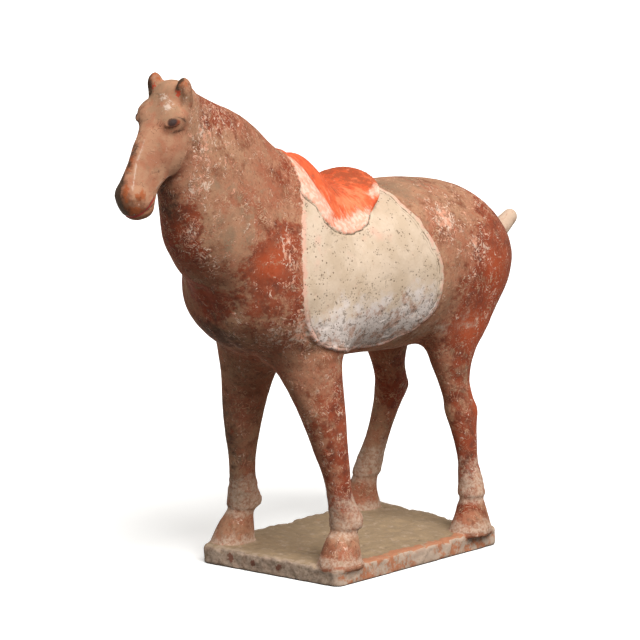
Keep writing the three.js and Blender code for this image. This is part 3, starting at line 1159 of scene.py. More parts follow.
@dataclass(frozen=True)
class Plinth:
    """The slab that the horse stands on, cut by eye and worn at its edges."""

    thickness: float = PLINTH_THICKNESS
    edge_round: float = 3.0
    corner_round: float = 9.0
    front: float = -104.77
    back: float = 105.57
    half_width: float = 74.8
    front_skew: float = 7.0
    rear_skew: float = 4.0
    dip: Patch = Patch((28, 106, 16), (32, 14, 9), 2.8)
    hoof_fillet: float = 3.0
    reach: tuple[Triple, Triple] = ((-90, -125, -5), (90, 120, 24))

    def outline(self) -> Array:
        """Places the slab's corners as seen from above.

        Returns:
            The corners, drawn in by the corner's rounding.
        """
        w, r = self.half_width, self.corner_round
        return np.array([
            (w - r, self.front + r),
            (w - r - self.rear_skew, self.back - r),
            (-w + r, self.back - r),
            (-w + r, self.front + r - self.front_skew),
        ])

    def distance(self, x: Array, y: Array, z: Array) -> Array:
        """Measures the distances to the slab, whose underside has no rounding.

        Args:
            x: Sideways places, in millimetres.
            y: Lengthways places.
            z: Heights.

        Returns:
            Distances in millimetres, below zero inside.
        """
        r = self.edge_round
        beside = ring_distance(self.outline(), x, y) - self.corner_round + r
        above = z - self.thickness + r
        outer = np.sqrt(np.maximum(beside, 0) ** 2 + np.maximum(above, 0) ** 2)
        body = outer + np.minimum(np.maximum(beside, above), 0) - r
        return np.maximum(body, -z)

    def shape(self, block: Block) -> None:
        """Adds the slab and runs the hooves into it.

        Args:
            block: The block that holds the legs.
        """
        window = block.window(*self.reach)
        x, y, z = block.places(window)
        found = self.distance(x, y, z).astype(np.float32)
        joined = soft_join(block.values[window], found, self.hoof_fillet)
        block.values[window] = np.maximum(joined, -z)


@dataclass(frozen=True)
class Tooling:
    """What hands, tools and years leave in the skin, in millimetres."""

    hand: Texture = Texture(3, 34, 2, 0.42)
    fingers: Texture = Texture(5, 9, 3, 0.16)
    drawn_lines: tuple[Band, ...] = (Band(5.2, 0.9, -0.5), Band(8.0, 0.9, -0.3))
    hem_roll: Band = Band(1.2, 1.8, 1.3)
    hem_waver: Texture = Texture(7, 9, 1)
    flap_gap: Band = Band(-0.9, 1.1, -0.9)
    gap_breaks: Texture = Texture(21, 7, 3)
    flap_roll: Band = Band(-3.4, 1.5, 0.7)
    flap_waver: Texture = Texture(23, 7, 1)
    chips: Texture = Texture(9, 7, 3)
    chip_depth: float = 0.6
    rear_wear: Texture = Texture(33, 8, 3, 0.7)
    pits: Texture = Texture(11, 5.5, 2)
    pit_depth: float = 0.45
    crust: Texture = Texture(13, 6, 2, 0.5)
    slab_hand: Texture = Texture(15, 16, 3, 0.7)
    slab_grit: Texture = Texture(25, 5, 2, 0.45)
    arris_depth: float = 1.3
    arris_breaks: Texture = Texture(31, 10, 3)
    ledge_height: float = 44.5
    ledge_depth: float = 0.8
    ledge_waver: Texture = Texture(27, 7, 2, 1.6)
    back_width: float = 20.0
    seat_foot: float = 336.0

    def edges(self, depth: Array, p: Array, saddlecloth: Saddlecloth) -> None:
        """Draws, rolls, chips and wears the edges of the cloth and of the flaps.

        Args:
            depth: How far each point moves, which is added to.
            p: The skin's points, in millimetres.
            saddlecloth: The cloth and its flaps.
        """
        x, y, z = p.T
        cloth, flap = saddlecloth.within(y, z)
        barrel = np.abs(x) > self.back_width
        rear = smooth(y, -25, 0) * smooth(z, *saddlecloth.rear_heights)
        for line in self.drawn_lines:
            depth += line.on(cloth, rear * barrel)
        hem = smooth(z, *saddlecloth.hem_heights) * barrel
        depth += self.hem_roll.on(cloth, hem) * (0.5 + self.hem_waver.on(p))
        beside = barrel * (z < self.seat_foot)
        depth += self.flap_gap.on(flap, smooth(self.gap_breaks.on(p), -0.1, 0.5) * beside)
        depth += self.flap_roll.on(flap, beside) * (0.5 + self.flap_waver.on(p))
        chips = smooth(self.chips.on(p), 0.55, 0.85)
        depth -= self.chip_depth * chips * np.maximum(hem, smooth(cloth, 14, 4) * rear) * (cloth > 0)
        worn = rear * smooth(z, 280, 296) * smooth(cloth, 20, 6) * (cloth > 0) * barrel
        depth += self.rear_wear.on(p, worn)

    def weather(self, depth: Array, p: Array) -> None:
        """Pits the clay and roughens the crust round the fetlocks.

        Args:
            depth: How far each point moves, which is added to.
            p: The skin's points, in millimetres.
        """
        z = p[:, 2]
        depth -= self.pit_depth * smooth(self.pits.on(p), 0.75, 1.15)
        depth += self.crust.on(p, smooth(z, 32, 40) * (1 - smooth(z, 62, 90)))

    def wear_slab(self, depth: Array, p: Array, plinth: Plinth) -> None:
        """Roughens the plinth, breaks its upper edge and presses in its dip.

        Args:
            depth: How far each point moves, which is added to.
            p: The skin's points, in millimetres.
            plinth: The slab.
        """
        x, y, z = p.T
        slab = smooth(z, 19, 15)
        depth += slab * (self.slab_hand.on(p) + self.slab_grit.on(p))
        arris = bell(z, 15, 2.6) * smooth(plinth.distance(x, y, z), -3, -1)
        depth -= self.arris_depth * arris * smooth(self.arris_breaks.on(p), 0.1, 0.8)
        depth -= slab * plinth.dip.on(p)

    def ledges(self, depth: Array, p: Array) -> None:
        """Raises the clay above each hoof, which ends in a wavering ledge.

        Args:
            depth: How far each point moves, which is added to.
            p: The skin's points, in millimetres.
        """
        z = p[:, 2]
        above = z - self.ledge_height - self.ledge_waver.on(p)
        depth += self.ledge_depth * smooth(above, -0.3, 0.8) * (1 - smooth(z, 46, 82)) * (z > 30)


@dataclass
class Figure:
    """The whole horse: its parts, its skin and the finished piece."""

    trunk: Trunk = field(default_factory=Trunk)
    legs: list[Leg] = field(default_factory=four_legs)
    tail: Tail = field(default_factory=Tail)
    cloth: Saddlecloth = field(default_factory=Saddlecloth)
    saddle: Saddle = field(default_factory=Saddle)
    head: Head = field(default_factory=Head)
    plinth: Plinth = field(default_factory=Plinth)
    tooling: Tooling = field(default_factory=Tooling)
    low: Triple = (-84, -300, -3)
    high: Triple = (84, 212, 457)
    margin: float = 0.02
    sole: float = 0.35
    budget: int = 192000

    def shape(self, step: float) -> Skin:
        """Builds every part in one block of clay and draws its skin.

        Args:
            step: The size of the block's cells, in millimetres.

        Returns:
            The skin, before any tooling.
        """
        block = Block(self.low, self.high, step)
        for part in (self.trunk, *self.legs, self.cloth, self.saddle, self.head, self.tail, self.plinth):
            part.shape(block)
            log.info("shaped %s", type(part).__name__)
        return Skin.of(block)

    def tool(self, skin: Skin) -> None:
        """Presses the hand's unevenness, the drawn lines, the pits and the wear into the skin.

        Args:
            skin: The skin, whose points it moves.
        """
        p, work = skin.points, self.tooling
        depth = work.hand.on(p) + work.fingers.on(p)
        for line in (*self.trunk.creases, *self.head.lines):
            depth += line.relief(p)
        work.edges(depth, p, self.cloth)
        work.weather(depth, p)
        work.wear_slab(depth, p, self.plinth)
        work.ledges(depth, p)
        skin.press(depth * smooth(p[:, 2], 0.2, 2.5))

    def build(self, box: tuple[Vector, Vector], step: float) -> bpy.types.Object:
        """Makes the finished piece.

        Args:
            box: The lowest and highest corner that it stays within, in metres.
            step: The size of the block's cells, in millimetres.

        Returns:
            The piece, with the finish's marks at its points.
        """
        skin = self.shape(step)
        log.info("skin of %d points", len(skin.points))
        skin.relax(2, 0.5)
        self.tool(skin)
        low, high = (np.array(corner) * PER_METRE for corner in box)
        skin.points = np.clip(skin.points, low + self.margin, high - self.margin)
        skin.points[:, 2] = np.where(skin.points[:, 2] < self.sole, 0, skin.points[:, 2])
        piece = clay_piece(skin, "painted_clay_horse", self.budget)
        mesh = piece.data
        places = np.empty(3 * len(mesh.vertices), np.float32)
        mesh.vertices.foreach_get("co", places)
        normals = np.empty(3 * len(mesh.vertices), np.float32)
        mesh.vertices.foreach_get("normal", normals)
        places = places.reshape(-1, 3).astype(float) * PER_METRE
        marks = Marks().measure(self, places, normals.reshape(-1, 3))
        for name, values in marks.items():
            kept = mesh.attributes.new(name, "FLOAT", "POINT")
            kept.data.foreach_set("value", np.asarray(values, np.float32))
        return piece


def clay_piece(skin: Skin, name: str, budget: int) -> bpy.types.Object:
    """Makes the skin into one object at the origin, in metres.

    Args:
        skin: The finished skin.
        name: The object's name.
        budget: The most triangles that it may have.

    Returns:
        The object.
    """
    mesh = bpy.data.meshes.new(name)
    mesh.vertices.add(len(skin.points))
    mesh.vertices.foreach_set("co", (skin.points / PER_METRE).astype(np.float32).ravel())
    mesh.loops.add(skin.quads.size)
    mesh.loops.foreach_set("vertex_index", skin.quads.astype(np.int32).ravel())
    mesh.polygons.add(len(skin.quads))
    mesh.polygons.foreach_set("loop_start", np.arange(0, skin.quads.size, 4, dtype=np.int32))
    mesh.update(calc_edges=True)
    piece = bpy.data.objects.new(name, mesh)
    bpy.context.scene.collection.objects.link(piece)
    triangles = 2 * len(skin.quads)
    if triangles > budget:
        fewer = piece.modifiers.new("fewer", "DECIMATE")
        fewer.ratio = budget / triangles
        bpy.context.view_layer.update()
        graph = bpy.context.evaluated_depsgraph_get()
        thinned = bpy.data.meshes.new_from_object(piece.evaluated_get(graph))
        piece.modifiers.clear()
        piece.data = thinned
        bpy.data.meshes.remove(mesh)
    piece.data.name = name
    piece.data.polygons.foreach_set("use_smooth", np.ones(len(piece.data.polygons), bool))
    return piece


def tint(red: int, green: int, blue: int) -> tuple[float, float, float, float]:
    """The shader's colour for a colour as the eye reads it, in steps of 0 to 255."""
    eye = [v / 255 for v in (red, green, blue)]
    return tuple(v / 12.92 if v < 0.04045 else ((v + 0.055) / 1.055) ** 2.4 for v in eye) + (1.0,)


Socket = bpy.types.NodeSocket
Value = Socket | float
Colour = Socket | tuple[float, float, float, float]


class Bench:
    """Lays out the nodes of one material, with sizes in millimetres on the object."""

    def __init__(self, owner: bpy.types.Material | bpy.types.World) -> None:
        """Clears the owner's nodes and reads the place on the object.

        Args:
            owner: The material or world whose nodes are laid out.
        """
        owner.use_nodes = True
        self.tree = owner.node_tree
        self.tree.nodes.clear()
        self.place = self.node("ShaderNodeTexCoord").outputs["Object"]

    def node(self, kind: str, feeds: dict | None = None, **settings: object) -> bpy.types.Node:
        """Adds a node.

        Args:
            kind: The node's type.
            feeds: What goes into its inputs, by name or number.
            settings: Its own settings.

        Returns:
            The node.
        """
        made = self.tree.nodes.new(kind)
        for name, setting in settings.items():
            setattr(made, name, setting)
        for name, value in (feeds or {}).items():
            self.feed(made.inputs[name], value)
        return made

    def feed(self, socket: Socket, value: Value | Colour) -> None:
        """Fills an input.

        Args:
            socket: The input.
            value: A plain value, or another node's output, which is linked.
        """
        if isinstance(value, Socket):
            self.tree.links.new(value, socket)
        else:
            socket.default_value = value

    def sum(self, kind: str, a: Value, b: Value = 0.0) -> Socket:
        """One step of arithmetic, such as ADD, SUBTRACT, MULTIPLY, MAXIMUM or ABSOLUTE."""
        return self.node("ShaderNodeMath", {0: a, 1: b}, operation=kind).outputs[0]

    def times(self, *values: Value) -> Socket:
        """Multiplies values.

        Args:
            values: The values.

        Returns:
            Their product.
        """
        total = values[0]
        for value in values[1:]:
            total = self.sum("MULTIPLY", total, value)
        return total

    def plus(self, *values: Value) -> Socket:
        """Adds values up.

        Args:
            values: The values.

        Returns:
            Their sum.
        """
        total = values[0]
        for value in values[1:]:
            total = self.sum("ADD", total, value)
        return total

    def edge(self, value: Value, low: float, high: float) -> Socket:
        """Eases from 0 where the value is low to 1 where it is high."""
        feeds = {"Value": value, "From Min": low, "From Max": high}
        return self.node("ShaderNodeMapRange", feeds, interpolation_type="SMOOTHSTEP").outputs["Result"]

    def part(self, value: Value, low: float, high: float, share: float) -> Socket:
        """Eases from 0 where the value is low to a share of 1 where it is high."""
        return self.times(self.edge(value, low, high), share)

    def raised(self, value: Value, mark: str, by: float) -> Socket:
        """Raises a value where a mark is strong."""
        return self.plus(value, self.times(self.mark(mark), by))

    def spread(self, value: Value, low: float, high: float) -> Socket:
        """Spreads 0 to 1 over low to high."""
        feeds = {"Value": value, "To Min": low, "To Max": high}
        return self.node("ShaderNodeMapRange", feeds).outputs["Result"]

    def mark(self, name: str) -> Socket:
        """Reads a value that is kept at the mesh's points."""
        return self.node("ShaderNodeAttribute", attribute_name=name).outputs["Fac"]

    def mix(self, share: Value, under: Colour, over: Colour) -> Socket:
        """Lays one colour over another."""
        return self.node("ShaderNodeMix", {0: share, 6: under, 7: over}, data_type="RGBA").outputs[2]

    def between(self, share: Value, under: Value, over: Value) -> Socket:
        """Passes from one value to another."""
        return self.node("ShaderNodeMix", {0: share, 2: under, 3: over}, data_type="FLOAT").outputs[0]

    def spot(self, seed: float, stretch: Triple = (1, 1, 1)) -> Socket:
        """The place on the object, stretched and shifted so that each texture falls differently."""
        shift = (seed * 0.37, seed * 0.61, seed * 0.23)
        feeds = {"Vector": self.place, "Location": shift, "Scale": stretch}
        return self.node("ShaderNodeMapping", feeds).outputs[0]

    def noise(
        self, width: float, seed: float, detail: float = 3.0, rough: float = 0.55,
        stretch: Triple = (1, 1, 1), swirl: float = 0.0,
    ) -> Socket:
        """Smooth noise about 0.5.

        Args:
            width: How far apart its patches are, in millimetres.
            seed: A number that sets it apart from other noise.
            detail: How many finer layers it has.
            rough: How strong each finer layer is.
            stretch: How it is drawn out along each axis.
            swirl: How much it is bent.

        Returns:
            The noise's value.
        """
        feeds = {
            "Vector": self.spot(seed, stretch), "Scale": PER_METRE / width,
            "Detail": detail, "Roughness": rough, "Distortion": swirl,
        }
        return self.node("ShaderNodeTexNoise", feeds).outputs["Fac"]

    def specks(self, width: float, seed: float, size: float, share: float) -> Socket:
        """Small round spots of clay or dirt.

        Args:
            width: How far apart they may stand, in millimetres.
            seed: A number that sets them apart from others.
            size: Their reach as a share of that.
            share: How many of the places have one.

        Returns:
            1 on a speck, 0 elsewhere.
        """
        feeds = {"Vector": self.spot(seed), "Scale": PER_METRE / width}
        cells = self.node("ShaderNodeTexVoronoi", feeds)
        chosen = self.edge(cells.outputs["Color"], 1 - share, 1 - share + 0.04)
        return self.times(self.edge(cells.outputs["Distance"], size, size * 0.5), chosen)

    def curls(self, width: float, seed: float, rounds: float, line: float) -> Socket:
        """Nested curls and loops, such as a coat of slip leaves where it lifts in rings.

        Args:
            width: How wide the curls are, in millimetres.
            seed: A number that sets them apart from others.
            rounds: How closely they are nested.
            line: How thick their lines are, as a share of the gap between two.

        Returns:
            1 on a line, 0 elsewhere.
        """
        wave = self.times(self.noise(width, seed, 3, 0.5, swirl=0.9), rounds)
        away = self.sum("ABSOLUTE", self.sum("SUBTRACT", self.sum("FRACT", wave), 0.5))
        return self.edge(away, line, line * 0.4)

    def scribbles(self, width: float, seed: float, line: float = 0.02) -> Socket:
        """Thin wandering lines, such as flaked edges of slip leave.

        Args:
            width: How wide their bends are, in millimetres.
            seed: A number that sets them apart from others.
            line: How thick they are.

        Returns:
            1 on a line, 0 elsewhere.
        """
        wave = self.noise(width, seed, 2.5, 0.6, swirl=0.6)
        away = self.sum("ABSOLUTE", self.sum("SUBTRACT", wave, 0.5))
        return self.edge(away, line, line * 0.35)


@dataclass
class Coat:
    """What the layers have built up so far: colour, roughness, and height in millimetres."""

    colour: Colour
    rough: Value
    height: Value

    def over(
        self, bench: Bench, share: Value, colour: Colour, rough: float, rise: float = 0.0,
    ) -> Coat:
        """Lays a layer over part of this one.

        Args:
            bench: Where the nodes go.
            share: Where the layer lies.
            colour: Its colour.
            rough: Its roughness.
            rise: How far it stands proud, in millimetres.

        Returns:
            The new coat.
        """
        height = bench.plus(self.height, bench.times(share, rise)) if rise else self.height
        blended = bench.mix(share, self.colour, colour)
        return Coat(blended, bench.between(share, self.rough, rough), height)


@dataclass(frozen=True)
class BodyPaint:
    """The horse's own clay, its worn red paint, and dark soot with painted shade."""

    tan: Colour = tint(178, 132, 102)
    rose: Colour = tint(164, 98, 72)
    brown: Colour = tint(122, 78, 54)
    olive: Colour = tint(142, 116, 92)
    brick: Colour = tint(140, 58, 31)
    orange: Colour = tint(166, 66, 30)
    maroon: Colour = tint(102, 42, 26)
    # Soot, also used as painted shade under the jaw, the breast and the belly.
    soot_and_shade: Colour = tint(58, 40, 30)
    sand: Colour = tint(194, 152, 122)

    def lay(self, bench: Bench) -> Coat:
        """Lays the clay, the red paint in its zones, the grey wear, and dark soot with painted shade.

        Args:
            bench: Where the nodes go.

        Returns:
            The first coat.
        """
        b = bench
        red, grey, dark = b.mark("red"), b.mark("grey"), b.mark("dark")
        wide, mid, fine = b.noise(46, 1, 4, 0.6), b.noise(15, 2, 5, 0.65), b.noise(4, 3, 4, 0.6)
        clay = b.mix(b.edge(wide, 0.36, 0.64), self.rose, self.tan)
        clay = b.mix(b.part(mid, 0.46, 0.66, 0.75), clay, self.brown)
        clay = b.mix(b.part(fine, 0.5, 0.7, 0.5), clay, self.olive)
        clay = b.mix(b.part(b.noise(2.2, 9, 3, 0.6), 0.52, 0.7, 0.4), clay, self.maroon)
        coat = Coat(clay, 0.92, b.times(fine, 0.25))
        ragged = b.plus(b.times(mid, 0.8), b.times(fine, 0.5), b.times(red, 0.6))
        paint = b.mix(b.edge(b.noise(9, 4, 4, 0.6), 0.4, 0.68), self.brick, self.maroon)
        paint = b.mix(b.edge(b.plus(b.times(red, 0.5), b.times(wide, 0.8)), 0.72, 1.0), paint, self.orange)
        coat = coat.over(b, b.part(ragged, 0.72, 0.9, 0.85), paint, 0.82, 0.08)
        worn = b.plus(b.noise(11, 5, 8, 0.74), b.times(grey, 0.4))
        haze = b.mix(b.edge(b.noise(22, 6, 4), 0.4, 0.62), self.olive, self.tan)
        coat = coat.over(b, b.part(worn, 0.65, 0.84, 0.8), haze, 0.95)
        rings = b.times(b.curls(10, 16, 7, 0.14), b.edge(b.noise(12, 17, 4), 0.42, 0.56))
        curl = b.mix(b.edge(wide, 0.42, 0.6), self.sand, self.rose)
        coat = coat.over(b, b.times(rings, 0.75), curl, 0.92, 0.12)
        # Dark soot from noise, and painted shade where the dark mark lies: under the jaw, under the breast and
        # belly, and inside the far foreleg.
        soot_and_shade = b.plus(b.noise(8, 7, 5, 0.65), b.times(dark, 0.5))
        coat = coat.over(b, b.part(soot_and_shade, 0.6, 0.95, 0.8), self.soot_and_shade, 0.9)
        pits = b.specks(2.6, 8, 0.34, 0.2)
        return coat.over(b, b.times(pits, 0.55), self.maroon, 0.9, -0.15)


class Layer:
    """One layer of the finish, over the body's clay and paint."""

    def lay(self, bench: Bench, under: Coat) -> Coat:
        """Lays the layer over the coat so far and gives the new coat."""
        raise NotImplementedError


@dataclass(frozen=True)
class Flakes(Layer):
    """White and salmon flakes and scribbles of ground slip that still cling to the paint."""

    salmon: Colour = tint(222, 158, 130)
    white: Colour = tint(230, 200, 178)

    def lay(self, bench: Bench, under: Coat) -> Coat:
        """Lays the flakes thickly in their zones and thinly elsewhere.

        Args:
            bench: Where the nodes go.
            under: The coat so far.

        Returns:
            The coat with this layer on it.
        """
        b = bench
        zone = b.mark("flake")
        patchy = b.plus(b.noise(9, 11, 5, 0.6), b.times(zone, 0.17))
        lines = b.times(b.curls(8.5, 12, 6, 0.17), b.edge(patchy, 0.55, 0.64))
        bits = b.edge(b.plus(b.noise(3.4, 13, 4, 0.6, (1, 1, 0.7), 0.8), b.times(zone, 0.05)), 0.67, 0.71)
        solid = b.edge(b.plus(b.noise(7, 14, 8, 0.74, (1, 1, 0.6), 0.5), b.times(zone, 0.15)), 0.68, 0.73)
        share = b.sum("MAXIMUM", lines, b.sum("MAXIMUM", b.times(bits, b.edge(patchy, 0.5, 0.6)), solid))
        colour = b.mix(b.edge(b.noise(5, 15, 4), 0.42, 0.6), self.salmon, self.white)
        return under.over(b, b.times(share, b.edge(b.noise(2.6, 18, 3), 0.3, 0.5), 0.85), colour, 0.9, 0.22)


@dataclass(frozen=True)
class Crust(Layer):
    """Pale burial crust round the fetlocks and low on the body."""

    cream: Colour = tint(204, 178, 156)
    clay: Colour = tint(168, 126, 102)

    def lay(self, bench: Bench, under: Coat) -> Coat:
        """Lays the crust in its zones, broken by the clay under it.

        Args:
            bench: Where the nodes go.
            under: The coat so far.

        Returns:
            The coat with this layer on it.
        """
        b = bench
        grains = b.raised(b.noise(10, 21, 7, 0.72), "pale", 0.26)
        colour = b.mix(b.edge(b.noise(2.4, 22, 5, 0.65), 0.42, 0.66), self.cream, self.clay)
        return under.over(b, b.part(grains, 0.6, 0.86, 0.8), colour, 0.95, 0.2)


@dataclass(frozen=True)
class ClothSlip(Layer):
    """The saddlecloth's ivory slip, specked, rubbed white and worn to the clay low down."""

    ivory: Colour = tint(215, 192, 168)
    cream: Colour = tint(202, 178, 152)
    white: Colour = tint(228, 214, 206)
    clay: Colour = tint(176, 128, 102)
    blush: Colour = tint(222, 166, 144)
    speck: Colour = tint(104, 82, 62)

    def lay(self, bench: Bench, under: Coat) -> Coat:
        """Lays the slip inside the cloth's edge.

        Args:
            bench: Where the nodes go.
            under: The coat so far.

        Returns:
            The coat with this layer on it.
        """
        b = bench
        inside, low = b.mark("cloth"), b.mark("hem")
        ragged = b.plus(inside, b.spread(b.noise(5, 31, 5, 0.65), -3.2, 3.2))
        share = b.edge(ragged, -0.5, 0.6)
        slip = b.mix(b.edge(b.noise(24, 32, 4), 0.4, 0.64), self.ivory, self.cream)
        slip = b.mix(b.part(b.noise(3, 50, 5, 0.7), 0.5, 0.68, 0.45), slip, self.cream)
        chalk = b.plus(b.noise(16, 33, 5, 0.65), b.times(low, 0.48))
        slip = b.mix(b.part(chalk, 0.62, 0.9, 0.85), slip, self.white)
        bare = b.plus(b.noise(12, 34, 8, 0.76), b.times(low, 0.15))
        slip = b.mix(b.part(bare, 0.62, 0.72, 0.7), slip, self.clay)
        flush = b.edge(b.raised(b.noise(14, 59, 4), "flush", 0.4), 0.6, 0.9)
        slip = b.mix(b.times(flush, 0.5), slip, self.blush)
        rim = b.times(b.edge(ragged, 5.5, 1.5), b.edge(b.noise(6, 35, 4), 0.34, 0.54))
        slip = b.mix(b.times(rim, 0.75), slip, self.blush)
        busy = b.edge(b.plus(b.noise(12, 38, 4), b.times(low, 0.15)), 0.5, 0.6)
        dots = b.sum("MAXIMUM", b.specks(3.6, 36, 0.3, 0.34), b.times(b.specks(1.9, 37, 0.42, 0.4), busy))
        stain = b.edge(b.plus(b.noise(5.4, 48, 7, 0.76, swirl=0.4), b.times(low, 0.07)), 0.62, 0.66)
        cracks = b.times(b.curls(10, 47, 6, 0.07), busy, b.edge(b.noise(5, 60, 3), 0.5, 0.6))
        dots = b.sum("MAXIMUM", dots, b.sum("MAXIMUM", b.times(stain, 0.8), b.times(cracks, 0.7)))
        broken = b.edge(b.noise(8, 65, 4), 0.38, 0.56)
        line = b.sum("MAXIMUM", self.ruled(b, 5.2), b.times(self.ruled(b, 8.0), 0.4))
        line = b.times(line, b.mark("rear"))
        line = b.times(b.sum("MAXIMUM", line, b.times(self.ruled(b, 3.4), low)), broken)
        slip = b.mix(b.times(b.sum("MAXIMUM", dots, line), 0.75), slip, self.speck)
        height = b.plus(b.times(b.noise(6, 39, 5, 0.6), 0.3), b.times(dots, -0.25))
        return Coat(
            b.mix(share, under.colour, slip), b.between(share, under.rough, 0.86),
            b.between(share, under.height, height),
        )

    def ruled(self, bench: Bench, inset: float) -> Socket:
        """A thin line drawn inside the cloth's edge.

        Args:
            bench: Where the nodes go.
            inset: How far inside the edge it runs, in millimetres.

        Returns:
            1 on the line, 0 elsewhere.
        """
        away = bench.sum("ABSOLUTE", bench.sum("SUBTRACT", bench.mark("cloth"), inset))
        waver = bench.spread(bench.noise(8, 40, 5, 0.65), -0.9, 1.1)
        return bench.edge(bench.plus(away, waver), 0.9, 0.4)


@dataclass(frozen=True)
class SaddlePaint(Layer):
    """The saddle's orange-red paint, rubbed to rose along its flaps."""

    orange: Colour = tint(220, 98, 56)
    amber: Colour = tint(236, 138, 94)
    red: Colour = tint(200, 78, 46)
    rust: Colour = tint(168, 84, 52)
    rose: Colour = tint(236, 174, 148)
    ivory: Colour = tint(226, 202, 180)
    gap: Colour = tint(96, 78, 60)

    def lay(self, bench: Bench, under: Coat) -> Coat:
        """Lays the paint over the saddle and down its flaps.

        Args:
            bench: Where the nodes go.
            under: The coat so far.

        Returns:
            The coat with this layer on it.
        """
        b = bench
        seat, flap = b.mark("seat"), b.mark("flap")
        streak = b.noise(7, 41, 3, 0.55, (0.75, 1.3, 0.75), 0.2)
        paint = b.mix(b.edge(streak, 0.2, 0.58), self.red, self.orange)
        glow = b.raised(b.noise(6, 42, 4, stretch=(0.6, 1.3, 0.8)), "glow", 0.3)
        paint = b.mix(b.part(glow, 0.5, 0.84, 0.85), paint, self.amber)
        dull = b.raised(b.noise(5, 43, 5, 0.65, (0.8, 1.5, 1.1)), "rim", 0.2)
        paint = b.mix(b.part(dull, 0.56, 0.74, 0.8), paint, self.rust)
        faded = b.raised(b.noise(7, 44, 6, 0.7, (0.6, 1.7, 0.6)), "faint", 0.42)
        pale = b.mix(b.edge(b.noise(4, 49, 4), 0.44, 0.6), self.rose, self.ivory)
        paint = b.mix(b.part(faded, 0.58, 0.86, 0.95), paint, pale)
        ragged = b.plus(b.sum("MAXIMUM", seat, flap), b.spread(b.noise(4, 45, 3), -0.8, 0.8))
        coat = under.over(b, b.edge(ragged, -0.3, 0.7), paint, 0.7, 0.1)
        away = b.sum("ABSOLUTE", b.plus(flap, 0.9))
        crack = b.edge(b.plus(away, b.spread(b.noise(6, 46, 4), -1.0, 1.9)), 1.2, 0.5)
        return coat.over(b, b.times(crack, 0.75, b.edge(seat, 1.5, 0.0), b.mark("seam")), self.gap, 0.95)


@dataclass(frozen=True)
class HeadPaint(Layer):
    """The head's pale tan clay, its orange muzzle and ears, its painted eyes and lips, painted shade on its far
    side, and painted highlights along its nose, jaw and lip.
    """

    buff: Colour = tint(184, 136, 106)
    pink: Colour = tint(176, 118, 90)
    ochre: Colour = tint(164, 86, 46)
    # Near black, used as painted shade and for small dark spots.
    black: Colour = tint(50, 42, 30)
    umber: Colour = tint(70, 42, 32)
    brown: Colour = tint(126, 80, 54)
    ash: Colour = tint(156, 126, 98)
    iris: Colour = tint(134, 62, 34)
    pupil: Colour = tint(44, 29, 27)
    lip: Colour = tint(156, 44, 40)
    scarlet: Colour = tint(186, 66, 42)
    # Pale slip, also used for the painted highlight lines.
    white: Colour = tint(226, 202, 184)

    def lay(self, bench: Bench, under: Coat) -> Coat:
        """Lays the head's finish over the body's.

        Args:
            bench: Where the nodes go.
            under: The coat so far.

        Returns:
            The coat with this layer on it.
        """
        b = bench
        skin = b.mix(b.edge(b.noise(13, 51, 4), 0.42, 0.6), self.buff, self.pink)
        skin = b.mix(b.part(b.noise(5, 52, 5, 0.65), 0.56, 0.72, 0.3), skin, self.ochre)
        hairs = b.times(b.scribbles(10, 57, 0.013), b.edge(b.noise(8, 58, 3), 0.48, 0.6))
        skin = b.mix(b.times(hairs, 0.65), skin, self.umber)
        head = b.edge(b.plus(b.mark("head"), b.spread(b.noise(7, 53, 4), -0.3, 0.3)), 0.3, 0.7)
        coat = under.over(b, b.times(head, 0.9), skin, 0.88)
        dusk = b.raised(b.noise(5, 67, 6, 0.7), "muzzle", 0.3)
        coat = coat.over(b, b.part(dusk, 0.56, 0.8, 0.75), self.brown, 0.8)
        ashen = b.edge(b.raised(b.noise(9, 66, 5, 0.6), "forehead", 0.2), 0.56, 0.74)
        coat = coat.over(b, b.times(ashen, 0.5), self.ash, 0.9)
        muzzle = b.raised(b.noise(5, 54, 7, 0.7), "ochre", 0.3)
        coat = coat.over(b, b.part(muzzle, 0.6, 0.8, 0.9), self.ochre, 0.7)
        # Painted shade: near black on the head's far side, the far brow and the front plane left of the nose
        # ridge, with small dark spots at the near nostril, the near eye and the ears.
        shade = b.raised(b.noise(6, 55, 5, 0.6), "tar", 0.45)
        coat = coat.over(b, b.part(shade, 0.62, 0.92, 0.85), self.black, 0.75)
        patch = b.raised(b.noise(3, 62, 4), "scarlet", 0.4)
        coat = coat.over(b, b.part(patch, 0.66, 0.8, 0.85), self.scarlet, 0.8)
        coat = coat.over(b, b.edge(b.mark("eye"), -0.8, 0.2), self.iris, 0.6)
        coat = coat.over(b, b.part(b.mark("pupil"), -1.2, 1.0, 0.95), self.pupil, 0.6)
        lid = b.times(b.edge(b.mark("lid"), 0.3, 0.9), b.edge(b.noise(3, 63, 3), 0.3, 0.5))
        coat = coat.over(b, b.times(lid, 0.75), self.umber, 0.8)
        coat = coat.over(b, b.part(b.mark("lip"), 0.3, 0.7, 0.9), self.lip, 0.6)
        # Painted highlight: pale lines along the nose ridge, the jaw's edge and the upper lip.
        light = b.times(b.mark("light"), b.edge(b.noise(5, 64, 5, 0.65), 0.36, 0.52))
        coat = coat.over(b, b.times(light, 0.75), self.white, 0.8)
        chalk = b.raised(b.noise(3.4, 56, 7, 0.8, swirl=0.6), "chalk", 0.2)
        return coat.over(b, b.part(chalk, 0.6, 0.7, 0.75), self.white, 0.9, 0.12)


